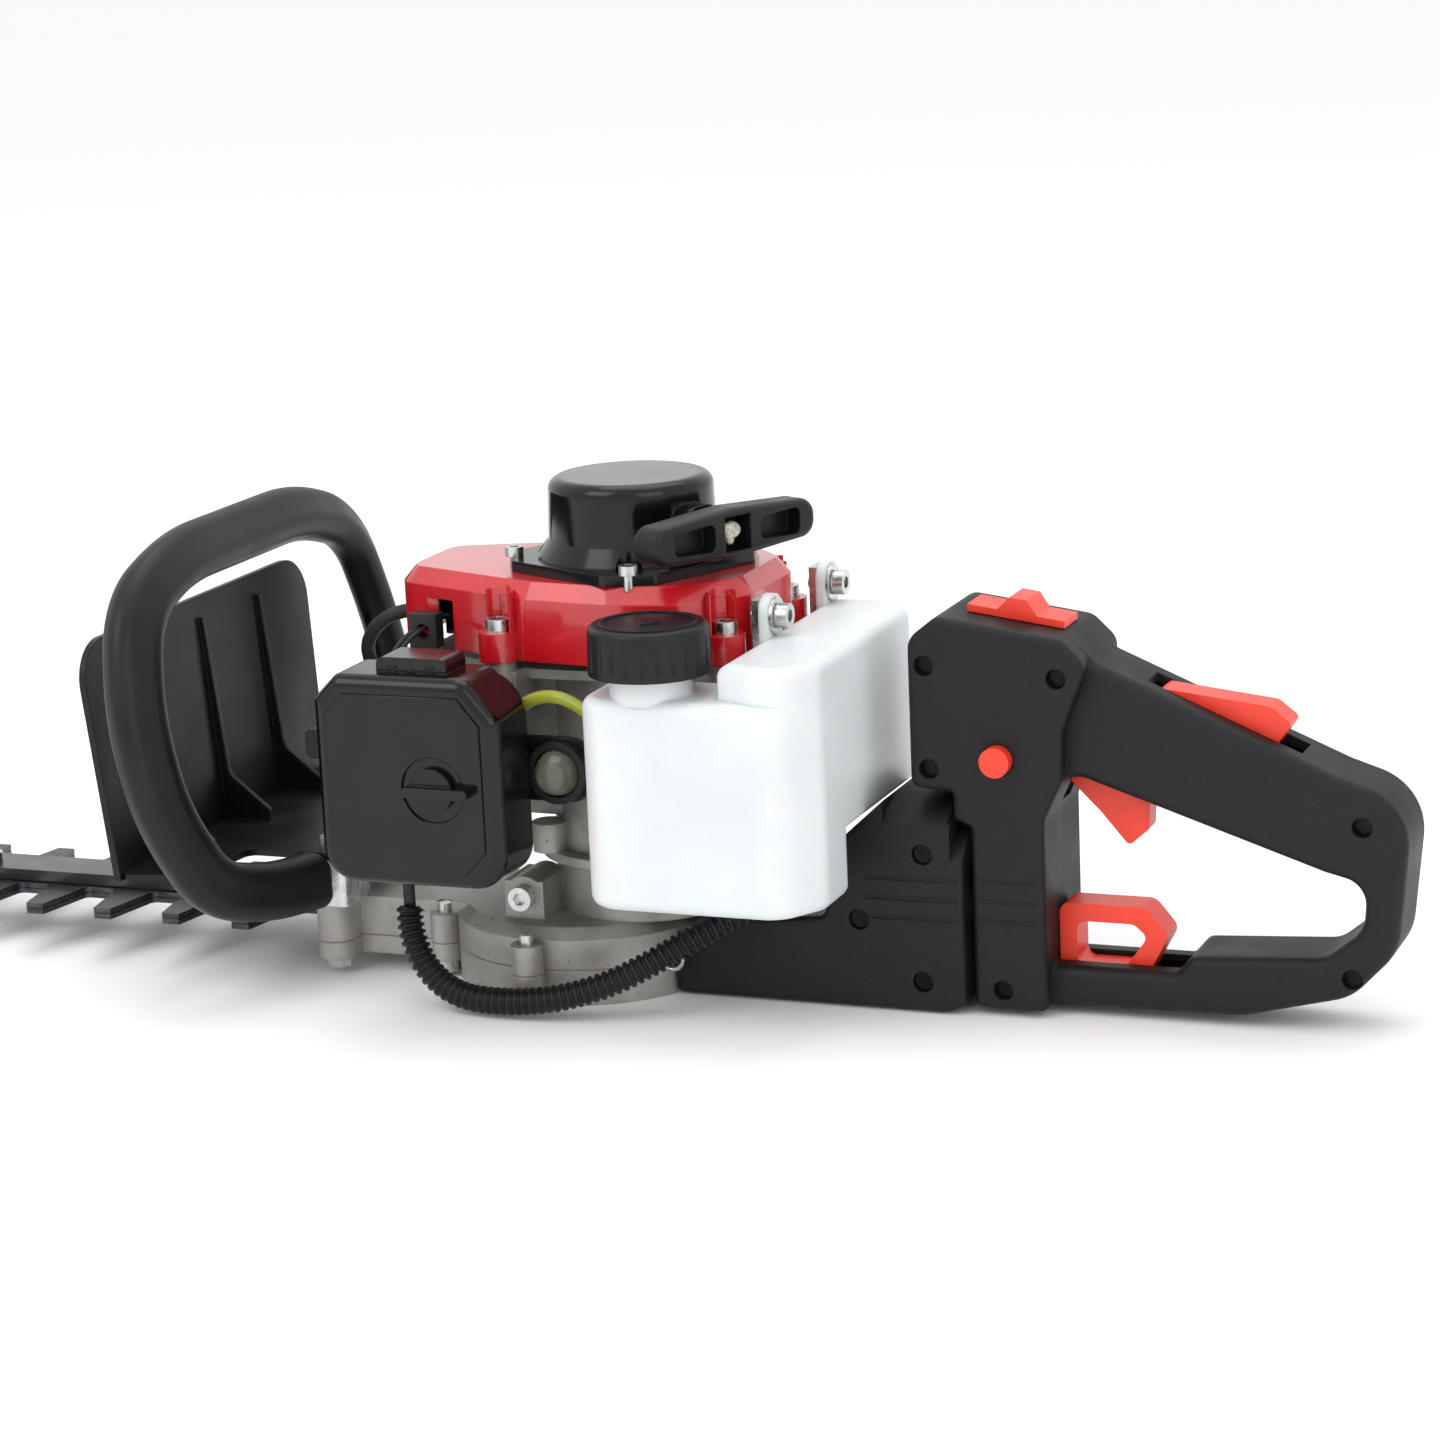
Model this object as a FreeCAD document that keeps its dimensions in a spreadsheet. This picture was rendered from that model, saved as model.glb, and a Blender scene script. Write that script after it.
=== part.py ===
import FreeCAD, Part
import math
import os
import re
import types
from FreeCAD import Placement, Rotation, Vector

# Petrol hedge trimmer, millimetres. +X towards the rear handle, -Y the operator's left,
# +Z up. The origin is on the underside pad of the gear case, below the crankshaft.

DIMENSIONS = {
    # gear case
    "case_radius": 55, "case_wall": 5, "case_x": -27, "parting": 14.6, "gasket": 0.4, "deck": 31.5,
    "arm_front": -134, "arm_half": 26, "ceiling": 27.5,
    # gears and eccentrics
    "gear_x": -37.5, "gear_module": 1.25, "gear_teeth": 48, "pinion_teeth": 12, "gear_low": 18,
    "gear_face": 4, "throw": 6, "cam_radius": 11.5, "pin_radius": 4.5, "rod_thick": 3.3,
    # cutters
    "tooth_pitch": 33, "tooth_count": 18, "tooth_reach": 41, "spine_half": 13, "blade_thick": 2.2,
    "lower_z": 17.7, "upper_z": 20.2, "bar_z": 22.7, "bar_thick": 5, "bar_half": 11, "first_tooth": -170,
    # engine
    "case_low": 58, "bore_z": 100, "case_top": 136, "crank_throw": 14, "bore": 16.25, "fin_half": 30,
    "fin_thick": 1.8, "fin_pitch": 4.8, "wheel_radius": 46, "wheel_low": 143,
    "skin": 2.5, "shroud_low": 140, "shroud_top": 171.5, "starter_top": 208, "drum_radius": 34,
    # tank
    "tank_wall": 2.2, "cap_radius": 24,
    # handles
    "swivel_z": 40, "holder_half": 29, "head_half": 26, "grip_half": 18, "wall": 3,
    "shield_low": 51, "shield_lean": 4.5, "loop_wide": 24, "loop_thin": 17, "conduit_radius": 5.5,
    # fasteners
    "screw": 3, "head": 5, "small_screw": 2, "small_head": 3.8,
}

doc = FreeCAD.newDocument("HedgeTrimmer")
sheet = doc.addObject("Spreadsheet::Sheet", "Dims")
for row, (alias, value) in enumerate(DIMENSIONS.items(), start=1):
    sheet.set(f"A{row}", alias)
    sheet.set(f"B{row}", str(value))
    sheet.setAlias(f"B{row}", alias)
doc.recompute()
D = types.SimpleNamespace(**DIMENSIONS)
TURN = {"Z": Rotation(), "X": Rotation(Vector(0, 1, 0), 90), "Y": Rotation(Vector(1, 0, 0), -90)}
PLANE_OF = {"XY": "XY_Plane", "XZ": "XZ_Plane", "YZ": "YZ_Plane"}
NODES = []
BRACKETS = []
SCREWS = []
GASKETS = []
BEARINGS = []
HANDLE_STEEL = []


# --- small building blocks -------------------------------------------------------------

def bind(thing, prop, size):
    """Give a property a number, or an expression over the sheet's names."""
    if isinstance(size, str):
        thing.setExpression(prop, re.sub(r"[a-z]\w*", lambda word: "Dims." + word.group(), size))
    else:
        setattr(thing, prop, size)


def box(x, y, z, length, width, height):
    """A block from its lowest corner."""
    block = doc.addObject("Part::Box", "Block")
    bind(block, "Length", length)
    bind(block, "Width", width)
    bind(block, "Height", height)
    block.Placement = Placement(Vector(x, y, z), Rotation())
    return block


def slab(x0, x1, half, z0, z1):
    """A block centred on Y."""
    return box(x0, -half, z0, x1 - x0, 2 * half, z1 - z0)


def cyl(x, y, z, radius, height, axis="Z"):
    rod = doc.addObject("Part::Cylinder", "Round")
    bind(rod, "Radius", radius)
    bind(rod, "Height", height)
    rod.Placement = Placement(Vector(x, y, z), TURN[axis])
    return rod


def cone(x, y, z, low, high, height, axis="Z"):
    taper = doc.addObject("Part::Cone", "Taper")
    bind(taper, "Radius1", low)
    bind(taper, "Radius2", high)
    bind(taper, "Height", height)
    taper.Placement = Placement(Vector(x, y, z), TURN[axis])
    return taper


def hexagon(x, y, z, radius, height, axis="Z"):
    prism = doc.addObject("Part::Prism", "Hex")
    prism.Polygon = 6
    bind(prism, "Circumradius", radius)
    bind(prism, "Height", height)
    prism.Placement = Placement(Vector(x, y, z), TURN[axis])
    return prism


def fuse(*things):
    if len(things) == 1:
        return things[0]
    joined = doc.addObject("Part::MultiFuse", "Joined")
    joined.Shapes = list(things)
    joined.Refine = True
    return joined


def cut(base, *tools):
    made = doc.addObject("Part::Cut", "Cut")
    made.Base = base
    made.Tool = fuse(*tools)
    made.Refine = True
    return made


def common(base, other):
    made = doc.addObject("Part::Common", "Common")
    made.Base = base
    made.Tool = other
    return made


def ring(x, y, z, outer, inner, height, axis="Z"):
    return cut(cyl(x, y, z, outer, height, axis), cyl(x, y, z, inner, height, axis))


def outline(points):
    """Lines through (u, v) or (u, v, radius) corners, the ones with a radius rounded."""
    corners = [(Vector(p[0], p[1], 0), p[2] if len(p) > 2 else 0) for p in points]
    ends = []
    for index, (corner, radius) in enumerate(corners):
        back = corners[index - 1][0] - corner
        ahead = corners[(index + 1) % len(corners)][0] - corner
        if not radius:
            ends.append((corner, None, corner))
            continue
        back.normalize()
        ahead.normalize()
        half = back.getAngle(ahead) / 2
        reach = radius / math.tan(half)
        inward = (back + ahead).normalize()
        middle = corner + inward * (radius / math.sin(half) - radius)
        ends.append((corner + back * reach, middle, corner + ahead * reach))
    shapes = []
    for index, (start, middle, stop) in enumerate(ends):
        if middle is not None:
            shapes.append(Part.Arc(start, middle, stop))
        following = ends[(index + 1) % len(ends)][0]
        if (following - stop).Length > 1e-4:
            shapes.append(Part.LineSegment(stop, following))
    return shapes


def sketch_on(body, plane, points, offset=0):
    sketch = body.newObject("Sketcher::SketchObject", "Outline")
    roles = {feature.Role: feature for feature in body.Origin.OriginFeatures}
    sketch.AttachmentSupport = [(roles[PLANE_OF[plane]], "")]
    sketch.MapMode = "FlatFace"
    sketch.AttachmentOffset = Placement(Vector(0, 0, offset), Rotation())
    sketch.addGeometry(outline(points), False)
    return sketch


def plate(points, low, thick, plane="XY"):
    """An outline padded from low towards the plane's positive world axis."""
    body = doc.addObject("PartDesign::Body", "Plate")
    depth = DIMENSIONS[thick] if isinstance(thick, str) else thick
    offset = -(low + depth) if plane == "XZ" else low
    pad = body.newObject("PartDesign::Pad", "Pad")
    pad.Profile = sketch_on(body, plane, points, offset)
    bind(pad, "Length", thick)
    return body


def turned(points, x=0, y=0, z=0, axis="Z"):
    """A (radius, height) outline turned about the axis."""
    body = doc.addObject("PartDesign::Body", "Turned")
    sketch = sketch_on(body, "XZ", points)
    spin = body.newObject("PartDesign::Revolution", "Spin")
    spin.Profile = sketch
    spin.ReferenceAxis = (sketch, ["V_Axis"])
    spin.Angle = 360
    body.Placement = Placement(Vector(x, y, z), TURN[axis])
    return body


def rounded(thing, radius, wanted):
    """Fillet the edges that wanted(edge) picks."""
    doc.recompute()
    edges = [number + 1 for number, edge in enumerate(thing.Shape.Edges) if wanted(edge)]
    soft = doc.addObject("Part::Fillet", "Soft")
    soft.Base = thing
    soft.Edges = [(number, radius, radius) for number in edges]
    return soft


def at_level(axis, *levels):
    """Picks edges that lie wholly at one of the levels along an axis."""
    def test(edge):
        low = getattr(edge.BoundBox, axis + "Min")
        high = getattr(edge.BoundBox, axis + "Max")
        return any(abs(low - level) < 1e-3 and abs(high - level) < 1e-3 for level in levels)
    return test


def route(points, bends=None):
    """Straight runs joined by tangent arcs, each as large as its two runs allow."""
    spots = [Vector(*point) for point in points]
    runs = [(b - a).Length for a, b in zip(spots, spots[1:])]
    edges = []
    start = spots[0]
    for index in range(1, len(spots) - 1):
        back = (spots[index - 1] - spots[index]).normalize()
        ahead = (spots[index + 1] - spots[index]).normalize()
        half = back.getAngle(ahead) / 2
        reach = 0.45 * min(runs[index - 1], runs[index])
        radius = reach * math.tan(half)
        if bends is not None:
            bends.append(round(radius, 1))
        middle = spots[index] + (back + ahead).normalize() * (radius / math.sin(half) - radius)
        first = spots[index] + back * reach
        last = spots[index] + ahead * reach
        edges.append(Part.LineSegment(start, first).toShape())
        edges.append(Part.Arc(first, middle, last).toShape())
        start = last
    edges.append(Part.LineSegment(start, spots[-1]).toShape())
    return Part.Wire(edges)


def hose(points, radius, hole=0):
    """A round hose along a route, with an optional bore."""
    bends = []
    wire = route(points, bends)
    direction = Vector(*points[1]) - Vector(*points[0])
    start = Vector(*points[0])
    shape = None
    for size in [radius] + ([hole] if hole else []):
        face = Part.Wire(Part.Circle(start, direction, size).toShape())
        solid = wire.makePipeShell([face], True, False)
        shape = solid if shape is None else shape.cut(solid)
    expected = math.pi * (radius ** 2 - hole ** 2) * wire.Length
    print("bend radii", bends, "length", round(wire.Length, 1),
          "volume ratio", round(shape.Volume / expected, 4))
    made = doc.addObject("Part::Feature", "Hose")
    made.Shape = shape
    return made


def node(name, thing):
    """Name a finished sub-part; its label is its file's name."""
    thing.Label = name
    NODES.append(thing)
    return thing


def socket_screw(x, y, z, length, axis="Z", down=True, radius="screw", head="head"):
    """A cap screw whose head's underside is at the given point."""
    sizes = [DIMENSIONS[radius], DIMENSIONS[head]]
    tall = sizes[1]
    step = -1 if down else 1
    base = {"X": Vector(1, 0, 0), "Y": Vector(0, 1, 0), "Z": Vector(0, 0, 1)}[axis]
    point = Vector(x, y, z)
    shank = point + base * (step * length if down else 0)
    cap = point + base * (0 if down else -tall)
    key = point + base * (tall * 0.5 if down else -tall)
    parts = fuse(cyl(*shank, radius, length, axis), cyl(*cap, head, tall, axis))
    return cut(parts, hexagon(*key, 0.55 * sizes[1], 0.5 * tall, axis))


# --- gear case -------------------------------------------------------------------------

CASE_BOLTS = [(-27 + 60 * math.cos(math.radians(turn)), 60 * math.sin(math.radians(turn)))
              for turn in (-155, -92, 92, 155)]
HANDLE_BOLTS = [(-128, -33), (-128, 33)]


def case_plan(low, high, arm_low):
    """The plan of the gear case between two heights, as one solid."""
    tall = high - low
    solids = [cyl(D.case_x, 0, low, "case_radius", tall)]
    solids.append(slab(D.arm_front, -60, D.arm_half, max(low, arm_low), high))
    solids.append(plate([(20, -20), (62, -20, 6), (62, 20, 6), (20, 20)], low, min(high, 26) - low))
    for x, y in CASE_BOLTS:
        solids.append(cyl(x, y, max(low, 7), 6.5, high - max(low, 7)))
    for x, y in HANDLE_BOLTS:
        solids.append(cyl(x, y, max(low, arm_low), 8, high - max(low, arm_low)))
        side = math.copysign(1, y)
        solids.append(box(x - 8, min(side * 20, y), max(low, arm_low), 16, 13, high - max(low, arm_low)))
    return solids


def case_holes(low, high):
    holes = [cyl(x, y, low, 3.05, high - low) for x, y in CASE_BOLTS + HANDLE_BOLTS]
    holes.append(cyl(D.case_x, 0, low, "case_radius - case_wall", high - low))
    holes.append(slab(D.arm_front - 1, -70, 17, low, high))
    return holes


def gear_case():
    low = D.parting + D.gasket
    rim = 27
    solids = case_plan(low, rim, low)
    solids.append(cone(D.case_x, 0, rim, "case_radius", 50, D.deck - rim))
    solids.append(slab(D.arm_front, -60, D.arm_half, rim, D.deck))
    solids += [cyl(x, y, rim, 8, D.deck - rim) for x, y in HANDLE_BOLTS]
    solids += [box(x - 8, -33 if y < 0 else 20, rim, 16, 13, D.deck - rim) for x, y in HANDLE_BOLTS]
    holes = [cyl(x, y, low, 3.05, 40) for x, y in CASE_BOLTS + HANDLE_BOLTS]
    holes.append(cyl(D.case_x, 0, low, "case_radius - case_wall", D.ceiling - low))
    holes.append(slab(D.arm_front - 1, -70, 17, low, 28))
    holes.append(cyl(0, 0, low, 11, 30))
    holes.append(cyl(D.gear_x, 0, low, "pin_radius", 29.5 - low))
    holes += [cyl(x, 0, low, 3.05, 40) for x in (-104, -122)]
    node("gear_case", cut(fuse(*solids), *holes))


def gear_case_cover():
    solids = case_plan(0, D.parting, 7)
    floor = 5
    holes = [cyl(x, y, 0, 3.05, 20) for x, y in CASE_BOLTS + HANDLE_BOLTS]
    holes.append(cyl(D.case_x, 0, floor, "case_radius - case_wall", 20))
    holes.append(slab(-98, -70, 17, 10.5, 20))
    base = cut(fuse(*solids), *holes)
    land = slab(D.arm_front, -99, 12, D.parting, 17.3)
    seat = ring(0, 0, floor, 7, 4.05, 7)
    post = cyl(D.gear_x, 0, floor, "pin_radius + 3", 7)
    full = fuse(base, land, seat, post)
    drilled = [cyl(x, 0, 9, 3.05, 20) for x in (-104, -122)]
    node("gear_case_cover", cut(full, cyl(D.gear_x, 0, floor, "pin_radius", 20), *drilled))


def case_gasket():
    sheet_solid = fuse(*case_plan(D.parting, D.parting + D.gasket, D.parting))
    GASKETS.append(cut(sheet_solid, *case_holes(D.parting, D.parting + D.gasket)))


def flank_point(base, radius):
    """Polar angle of an involute at a radius."""
    roll = math.sqrt(max(0, (radius / base) ** 2 - 1))
    return roll - math.atan(roll)


def gear_outline(teeth, module, phase):
    """An involute outline with slightly thinned teeth and a gap or tooth at the phase angle."""
    pitch = teeth * module / 2
    base = pitch * math.cos(math.radians(20))
    root = pitch - 1.25 * module
    tip = pitch + 0.95 * module
    thinning = 0.06 / pitch
    half = math.pi / (2 * teeth) + flank_point(base, pitch) - thinning
    radii = [max(base, root) + (tip - max(base, root)) * step / 3 for step in range(4)]
    points = []
    for tooth in range(teeth):
        middle = phase + 2 * math.pi * tooth / teeth
        rising = [(radius, middle - half + flank_point(base, radius)) for radius in radii]
        falling = [(radius, 2 * middle - turn) for radius, turn in reversed(rising)]
        for radius, turn in [(root, rising[0][1])] + rising + falling + [(root, falling[-1][1])]:
            points.append((radius * math.cos(turn), radius * math.sin(turn)))
    return points


def drive_gear():
    teeth = gear_outline(D.gear_teeth, D.gear_module, math.pi / D.gear_teeth)
    wheel = plate([(x + D.gear_x, y) for x, y in teeth], D.gear_low, "gear_face")
    upper = cyl(D.gear_x, D.throw, D.gear_low + D.gear_face, "cam_radius", 4.2)
    lower = cyl(D.gear_x, -D.throw, D.gear_low - 4.2, "cam_radius", 4.2)
    windows = [cyl(D.gear_x + 21 * math.cos(turn), 21 * math.sin(turn), 10, 5, 20)
               for turn in (0, math.pi)]
    bore = cyl(D.gear_x, 0, 10, "pin_radius + 0.05", 20)
    node("drive_gear", cut(fuse(wheel, upper, lower), bore, *windows))
    BEARINGS.append(cyl(D.gear_x, 0, 5, "pin_radius", 24))


def clutch_drum():
    teeth = gear_outline(D.pinion_teeth, D.gear_module, math.pi)
    pinion = plate(teeth, 17.7, 4.6)
    cup = turned([(0, 36), (28, 36, 2), (28, 51), (26, 51), (26, 38.2), (0, 38.2)])
    node("clutch_drum", fuse(cyl(0, 0, 6, 4, 12), pinion, cyl(0, 0, 22.3, 6, 14), cup))
    BEARINGS.append(ring(0, 0, D.ceiling, 11, 6.05, D.deck - D.ceiling))


# --- cutters ---------------------------------------------------------------------------

BAR_BOLTS = [-215 - 99 * count for count in range(6)]


def tooth_xs():
    return [D.first_tooth - D.tooth_pitch * count for count in range(D.tooth_count)]


def blade_edge():
    """One side of a blade from the drive end to the tip: teeth with sharpened, narrowed tips."""
    points = [(-76, 10), (-92, D.spine_half)]
    for x in tooth_xs():
        points += [(x + 9.5, D.spine_half, 3), (x + 4.5, D.tooth_reach), (x - 3.5, D.tooth_reach),
                   (x - 8.5, D.spine_half, 3)]
    points.append((D.first_tooth - D.tooth_pitch * D.tooth_count + 12, D.spine_half, 6))
    return points


def blade(name, low, rod_low, rod_name, stud_low):
    side = blade_edge()
    points = side + [(point[0], -point[1]) + point[2:] for point in reversed(side)]
    flat = plate(points, low, "blade_thick")
    slots = []
    for x in [-104, -122] + BAR_BOLTS:
        slots.append(slab(x - D.throw - 0.5, x + D.throw + 0.5, 3.5, low - 1, low + 4))
        slots += [cyl(x + side_step, 0, low - 1, 3.5, 5) for side_step in (-D.throw - 0.5, D.throw + 0.5)]
    slots.append(cyl(-83, 0, low - 1, 4, 5))
    node(name, cut(flat, *slots))
    eye = [(D.gear_x + u * 20.5, v * 20.5, 14) for u, v in ((-1, -1), (1, -1), (1, 1), (-1, 1))]
    gap = [(D.gear_x + u * 18, v * 18, 11) for u, v in ((-1, -1), (1, -1), (1, 1), (-1, 1))]
    strap = plate([(-90, -8, 7.5), (-50, -8), (-50, 8), (-90, 8, 7.5)], rod_low, "rod_thick")
    stud = cyl(-83, 0, stud_low, 4, D.blade_thick + 0.4)
    rod = cut(fuse(plate(eye, rod_low, "rod_thick"), strap), plate(gap, rod_low - 1, 6))
    node(rod_name, fuse(rod, stud))


def guide_bar():
    tip = D.first_tooth - D.tooth_pitch * D.tooth_count - 4
    points = [(-97.2, -D.bar_half), (-97.2, D.bar_half), (tip, D.bar_half, 10), (tip, -D.bar_half, 10)]
    holes = [cyl(x, 0, D.bar_z - 1, 3.05, 8) for x in [-104, -122] + BAR_BOLTS]
    node("guide_bar", cut(plate(points, D.bar_z, "bar_thick"), *holes))
    top = D.bar_z + D.bar_thick
    bolts = []
    for x in BAR_BOLTS:
        bolts.append(hexagon(x, 0, top, "head", 3.5))
        bolts.append(cyl(x, 0, 12.4, "screw", top - 12))
        bolts.append(cyl(x, 0, 16.6, 7, 0.8))
        bolts.append(hexagon(x, 0, 12.4, "head", 4.2))
    SCREWS.extend(bolts)


def case_bolts():
    screws = []
    for x, y in CASE_BOLTS:
        screws.append(socket_screw(x, y, 7, 24, down=False))
    for x in (-104, -122):
        screws.append(socket_screw(x, 0, D.deck, 20))
    SCREWS.extend(screws)


# --- engine ----------------------------------------------------------------------------

def clutch_housing():
    wall = turned([(31, D.deck), (37, D.deck), (37, 54), (43, 54), (43, D.case_low), (31, D.case_low)])
    lug = box(-46, -42, D.deck, 17, 24, 16)
    eye = cyl(-37.5, -42, 41, 8.5, 24, "Y")
    vent = [box(-60, -5, 38, 60, 10, 12)]
    body = cut(fuse(wall, lug, eye), cyl(0, 0, 30, 31, 40), *vent)
    bolt = socket_screw(-37.5, -42, 41, 14, axis="Y", down=False)
    node("clutch_housing", cut(body, cyl(-37.5, -43, 41, 3.05, 15.5, "Y")))
    SCREWS.append(bolt)


def clutch_shoes():
    shoe = ring(0, 0, 40, 25.2, 11, 9)
    gap = [box(-30, -3, 39, 60, 6, 12)]
    groove = ring(0, 0, 43.4, 26, 22.6, 2.2)
    hub = ring(0, 0, 40, 10.8, 6, 9)
    arms = [box(-4, 10, 40, 8, 2, 9), box(-4, -12, 40, 8, 2, 9)]
    spring = ring(0, 0, 43.7, 24.6, 22.4, 1.6)
    node("clutch_shoes", fuse(cut(shoe, groove, *gap), hub, spring, *arms))


def half_crankcase(low, high):
    barrel = cyl(0, 0, low, 37, high - low)
    deck = slab(-41, 0, 27, max(low, 72), min(high, 128))
    return fuse(barrel, deck)


def crankcase():
    middle = D.bore_z
    chamber = [cyl(0, 0, 84, 26, 32), cyl(0, 0, 30, 8.6, 120), cyl(-42, 0, middle, 17.5, 42, "X")]
    seats = [cyl(0, 0, 76, 15, 48)]
    lower = half_crankcase(D.case_low, middle)
    corners = [(u, v) for u in (-30, 30) for v in (-30, 30)]
    feet = [cyl(u, v, D.case_low, 7, 12) for u, v in corners]
    node("crankcase_lower", cut(fuse(lower, *feet), *chamber, *seats))
    upper = half_crankcase(middle, D.case_top)
    fan_base = plate([(-88, -18, 8), (-88, 18, 8), (-28, 43, 12), (44, 43, 14), (57, 20, 10),
                      (57, -20, 10), (44, -43, 14), (-28, -43, 12)], 132, 4)
    posts = [cyl(x, y, 124, 6.5, 16) for x, y in SHROUD_BOLTS]
    lugs = [box(-46, -50 if y < 0 else 34, 124, 14, 16, 12) for x, y in SHROUD_BOLTS[::3]]
    drill = [cyl(x, y, 112, 2.05, 40) for x, y in SHROUD_BOLTS]
    node("crankcase_upper", cut(fuse(upper, fan_base, *posts, *lugs), *chamber, *seats, *drill))


SHROUD_BOLTS = [(-40, -47), (52, -35), (52, 35), (-40, 47)]


def crank_parts():
    webs = [cyl(0, 0, low, 23, 7) for low in (86, 107)]
    trims = [box(12, 2, 85, 20, 22, 30), box(-32, 2, 85, 20, 22, 30)]
    pin = cyl(0, D.crank_throw, 90, 6, 20)
    shaft = [cyl(0, 0, 38.6, 6, 38), cyl(0, 0, 76.6, 8, 10), cyl(0, 0, 113, 8, 12),
             cyl(0, 0, 125, 7.5, 25), cyl(0, 0, 150, 6, 21)]
    node("crankshaft", fuse(cut(fuse(*webs), *trims), pin, *shaft))
    low = ring(0, 0, 76.4, 15, 8, 7.4)
    high = ring(0, 0, 116.2, 15, 8, 7.4)
    BEARINGS.extend([low, high])
    eye = ring(0, 0, 96, 24, 20.6, 8)
    shank = box(-54, -4.5, 97, 32, 9, 6)
    small = cyl(-58, 0, 95, 7, 10)
    rod = cut(fuse(eye, shank, small), cyl(-58, 0, 90, 4, 20))
    crown = cyl(-72, 0, D.bore_z, "bore - 0.15", 26, "X")
    hollow = cyl(-68, 0, D.bore_z, "bore - 3", 23, "X")
    grooves = [ring(x, 0, D.bore_z, 20, 14.6, 1.6, "X") for x in (-70, -66)]
    node("piston", cut(crown, hollow, cyl(-58, 0, 80, 4, 40), *grooves))
    wrist = cut(cyl(-58, 0, 85.5, 4, 29), cyl(-58, 0, 85, 2.2, 31))
    rings = [ring(x + 0.05, 0, D.bore_z, "bore - 0.02", 14.8, 1.5, "X") for x in (-70, -66)]
    node("connecting_rod", fuse(rod, wrist, *rings))


def cylinder():
    barrel = cyl(-90, 0, D.bore_z, 22, 48, "X")
    base = box(-45, -26, 74, 4, 52, 52)
    fins = [box(-89 + D.fin_pitch * count, -D.fin_half, 70, "fin_thick", 2 * D.fin_half, 60)
            for count in range(8)]
    ports = [box(-72, -34, 86, 26, 20, 28), box(-72, 14, 86, 26, 20, 28)]
    holes = [cyl(-80, 0, D.bore_z, "bore", 40, "X"), cyl(-92, 0, D.bore_z, 5, 20, "X"),
             cyl(-59, -40, D.bore_z, 8, 80, "Y")]
    node("cylinder", cut(fuse(barrel, base, *fins, *ports), *holes))
    plug = fuse(cyl(-90.2, 0, D.bore_z, 5, 12, "X"), hexagon(-97, 0, D.bore_z, 9.4, 6.8, "X"),
                cyl(-101, 0, D.bore_z, 6.5, 4, "X"), cyl(-112, 0, D.bore_z, 4.5, 12, "X"),
                cyl(-116, 0, D.bore_z, 2.8, 4, "X"))
    node("spark_plug", plug)
    sleeve = cut(cyl(-120, 0, D.bore_z, 8.5, 18, "X"), cyl(-117, 0, D.bore_z, 5, 20, "X"))
    elbow = fuse(sleeve, cyl(-120, 0, D.bore_z, 8.5, 14))
    boot = cut(elbow, cyl(-117, 0, D.bore_z, 5, 20, "X"))
    lead = [(-120, 0, 108), (-120, -2, 124), (-118, -10, 136), (-108, -14, 147), (-95, -14, 152), (-80, -10, 152)]
    node("ignition_lead", fuse(boot, hose(lead, 2.9)))


def flywheel():
    low = D.wheel_low
    dish = turned([(7.5, low), (D.wheel_radius, low, 2), (D.wheel_radius, low + 9, 2), (38, low + 9),
                   (36, low + 5), (14, low + 5), (12, low + 14), (7.5, low + 14)])
    vanes = []
    for count in range(12):
        vane = box(22, -1.1, low + 4.5, 21, 2.2, 11)
        vane.Placement = Placement(Vector(0, 0, 0), Rotation(Vector(0, 0, 1), 30 * count)) * vane.Placement
        vanes.append(vane)
    cup = turned([(6, 157), (15, 157), (15, 168), (17, 168), (17, 171), (12.5, 171), (12.5, 160), (6, 160)])
    node("flywheel", fuse(cut(fuse(dish, *vanes), cyl(0, 0, 140, 7.5, 30)), cup))


def ignition_coil():
    legs = [box(-60, y - 3, 145, 13, 6, 6) for y in (-9, 9)]
    shoe = cyl(0, 0, 140, "wheel_radius + 0.5", 30)
    body = plate([(-80, -14, 3), (-58, -14, 3), (-58, 14, 3), (-80, 14, 3)], 142, 18)
    grip = cyl(-84, -10, 152, 5, 8, "X")
    node("ignition_coil", cut(fuse(body, *legs, grip), shoe, cyl(-85, -10, 152, 2.95, 6, "X")))


SHROUD_PLAN = [(-95, -22), (-95, 22), (-28, 48), (8, 52), (36, 48), (59, 24), (59, -24), (36, -48),
               (8, -52), (-28, -48)]


def shrunk(points, amount, radius):
    """The plan moved inward by scaling about its middle, with rounded corners."""
    return [((x + 17) * (1 - amount / 78) - 17, y * (1 - amount / 60), radius) for x, y in points]


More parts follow.
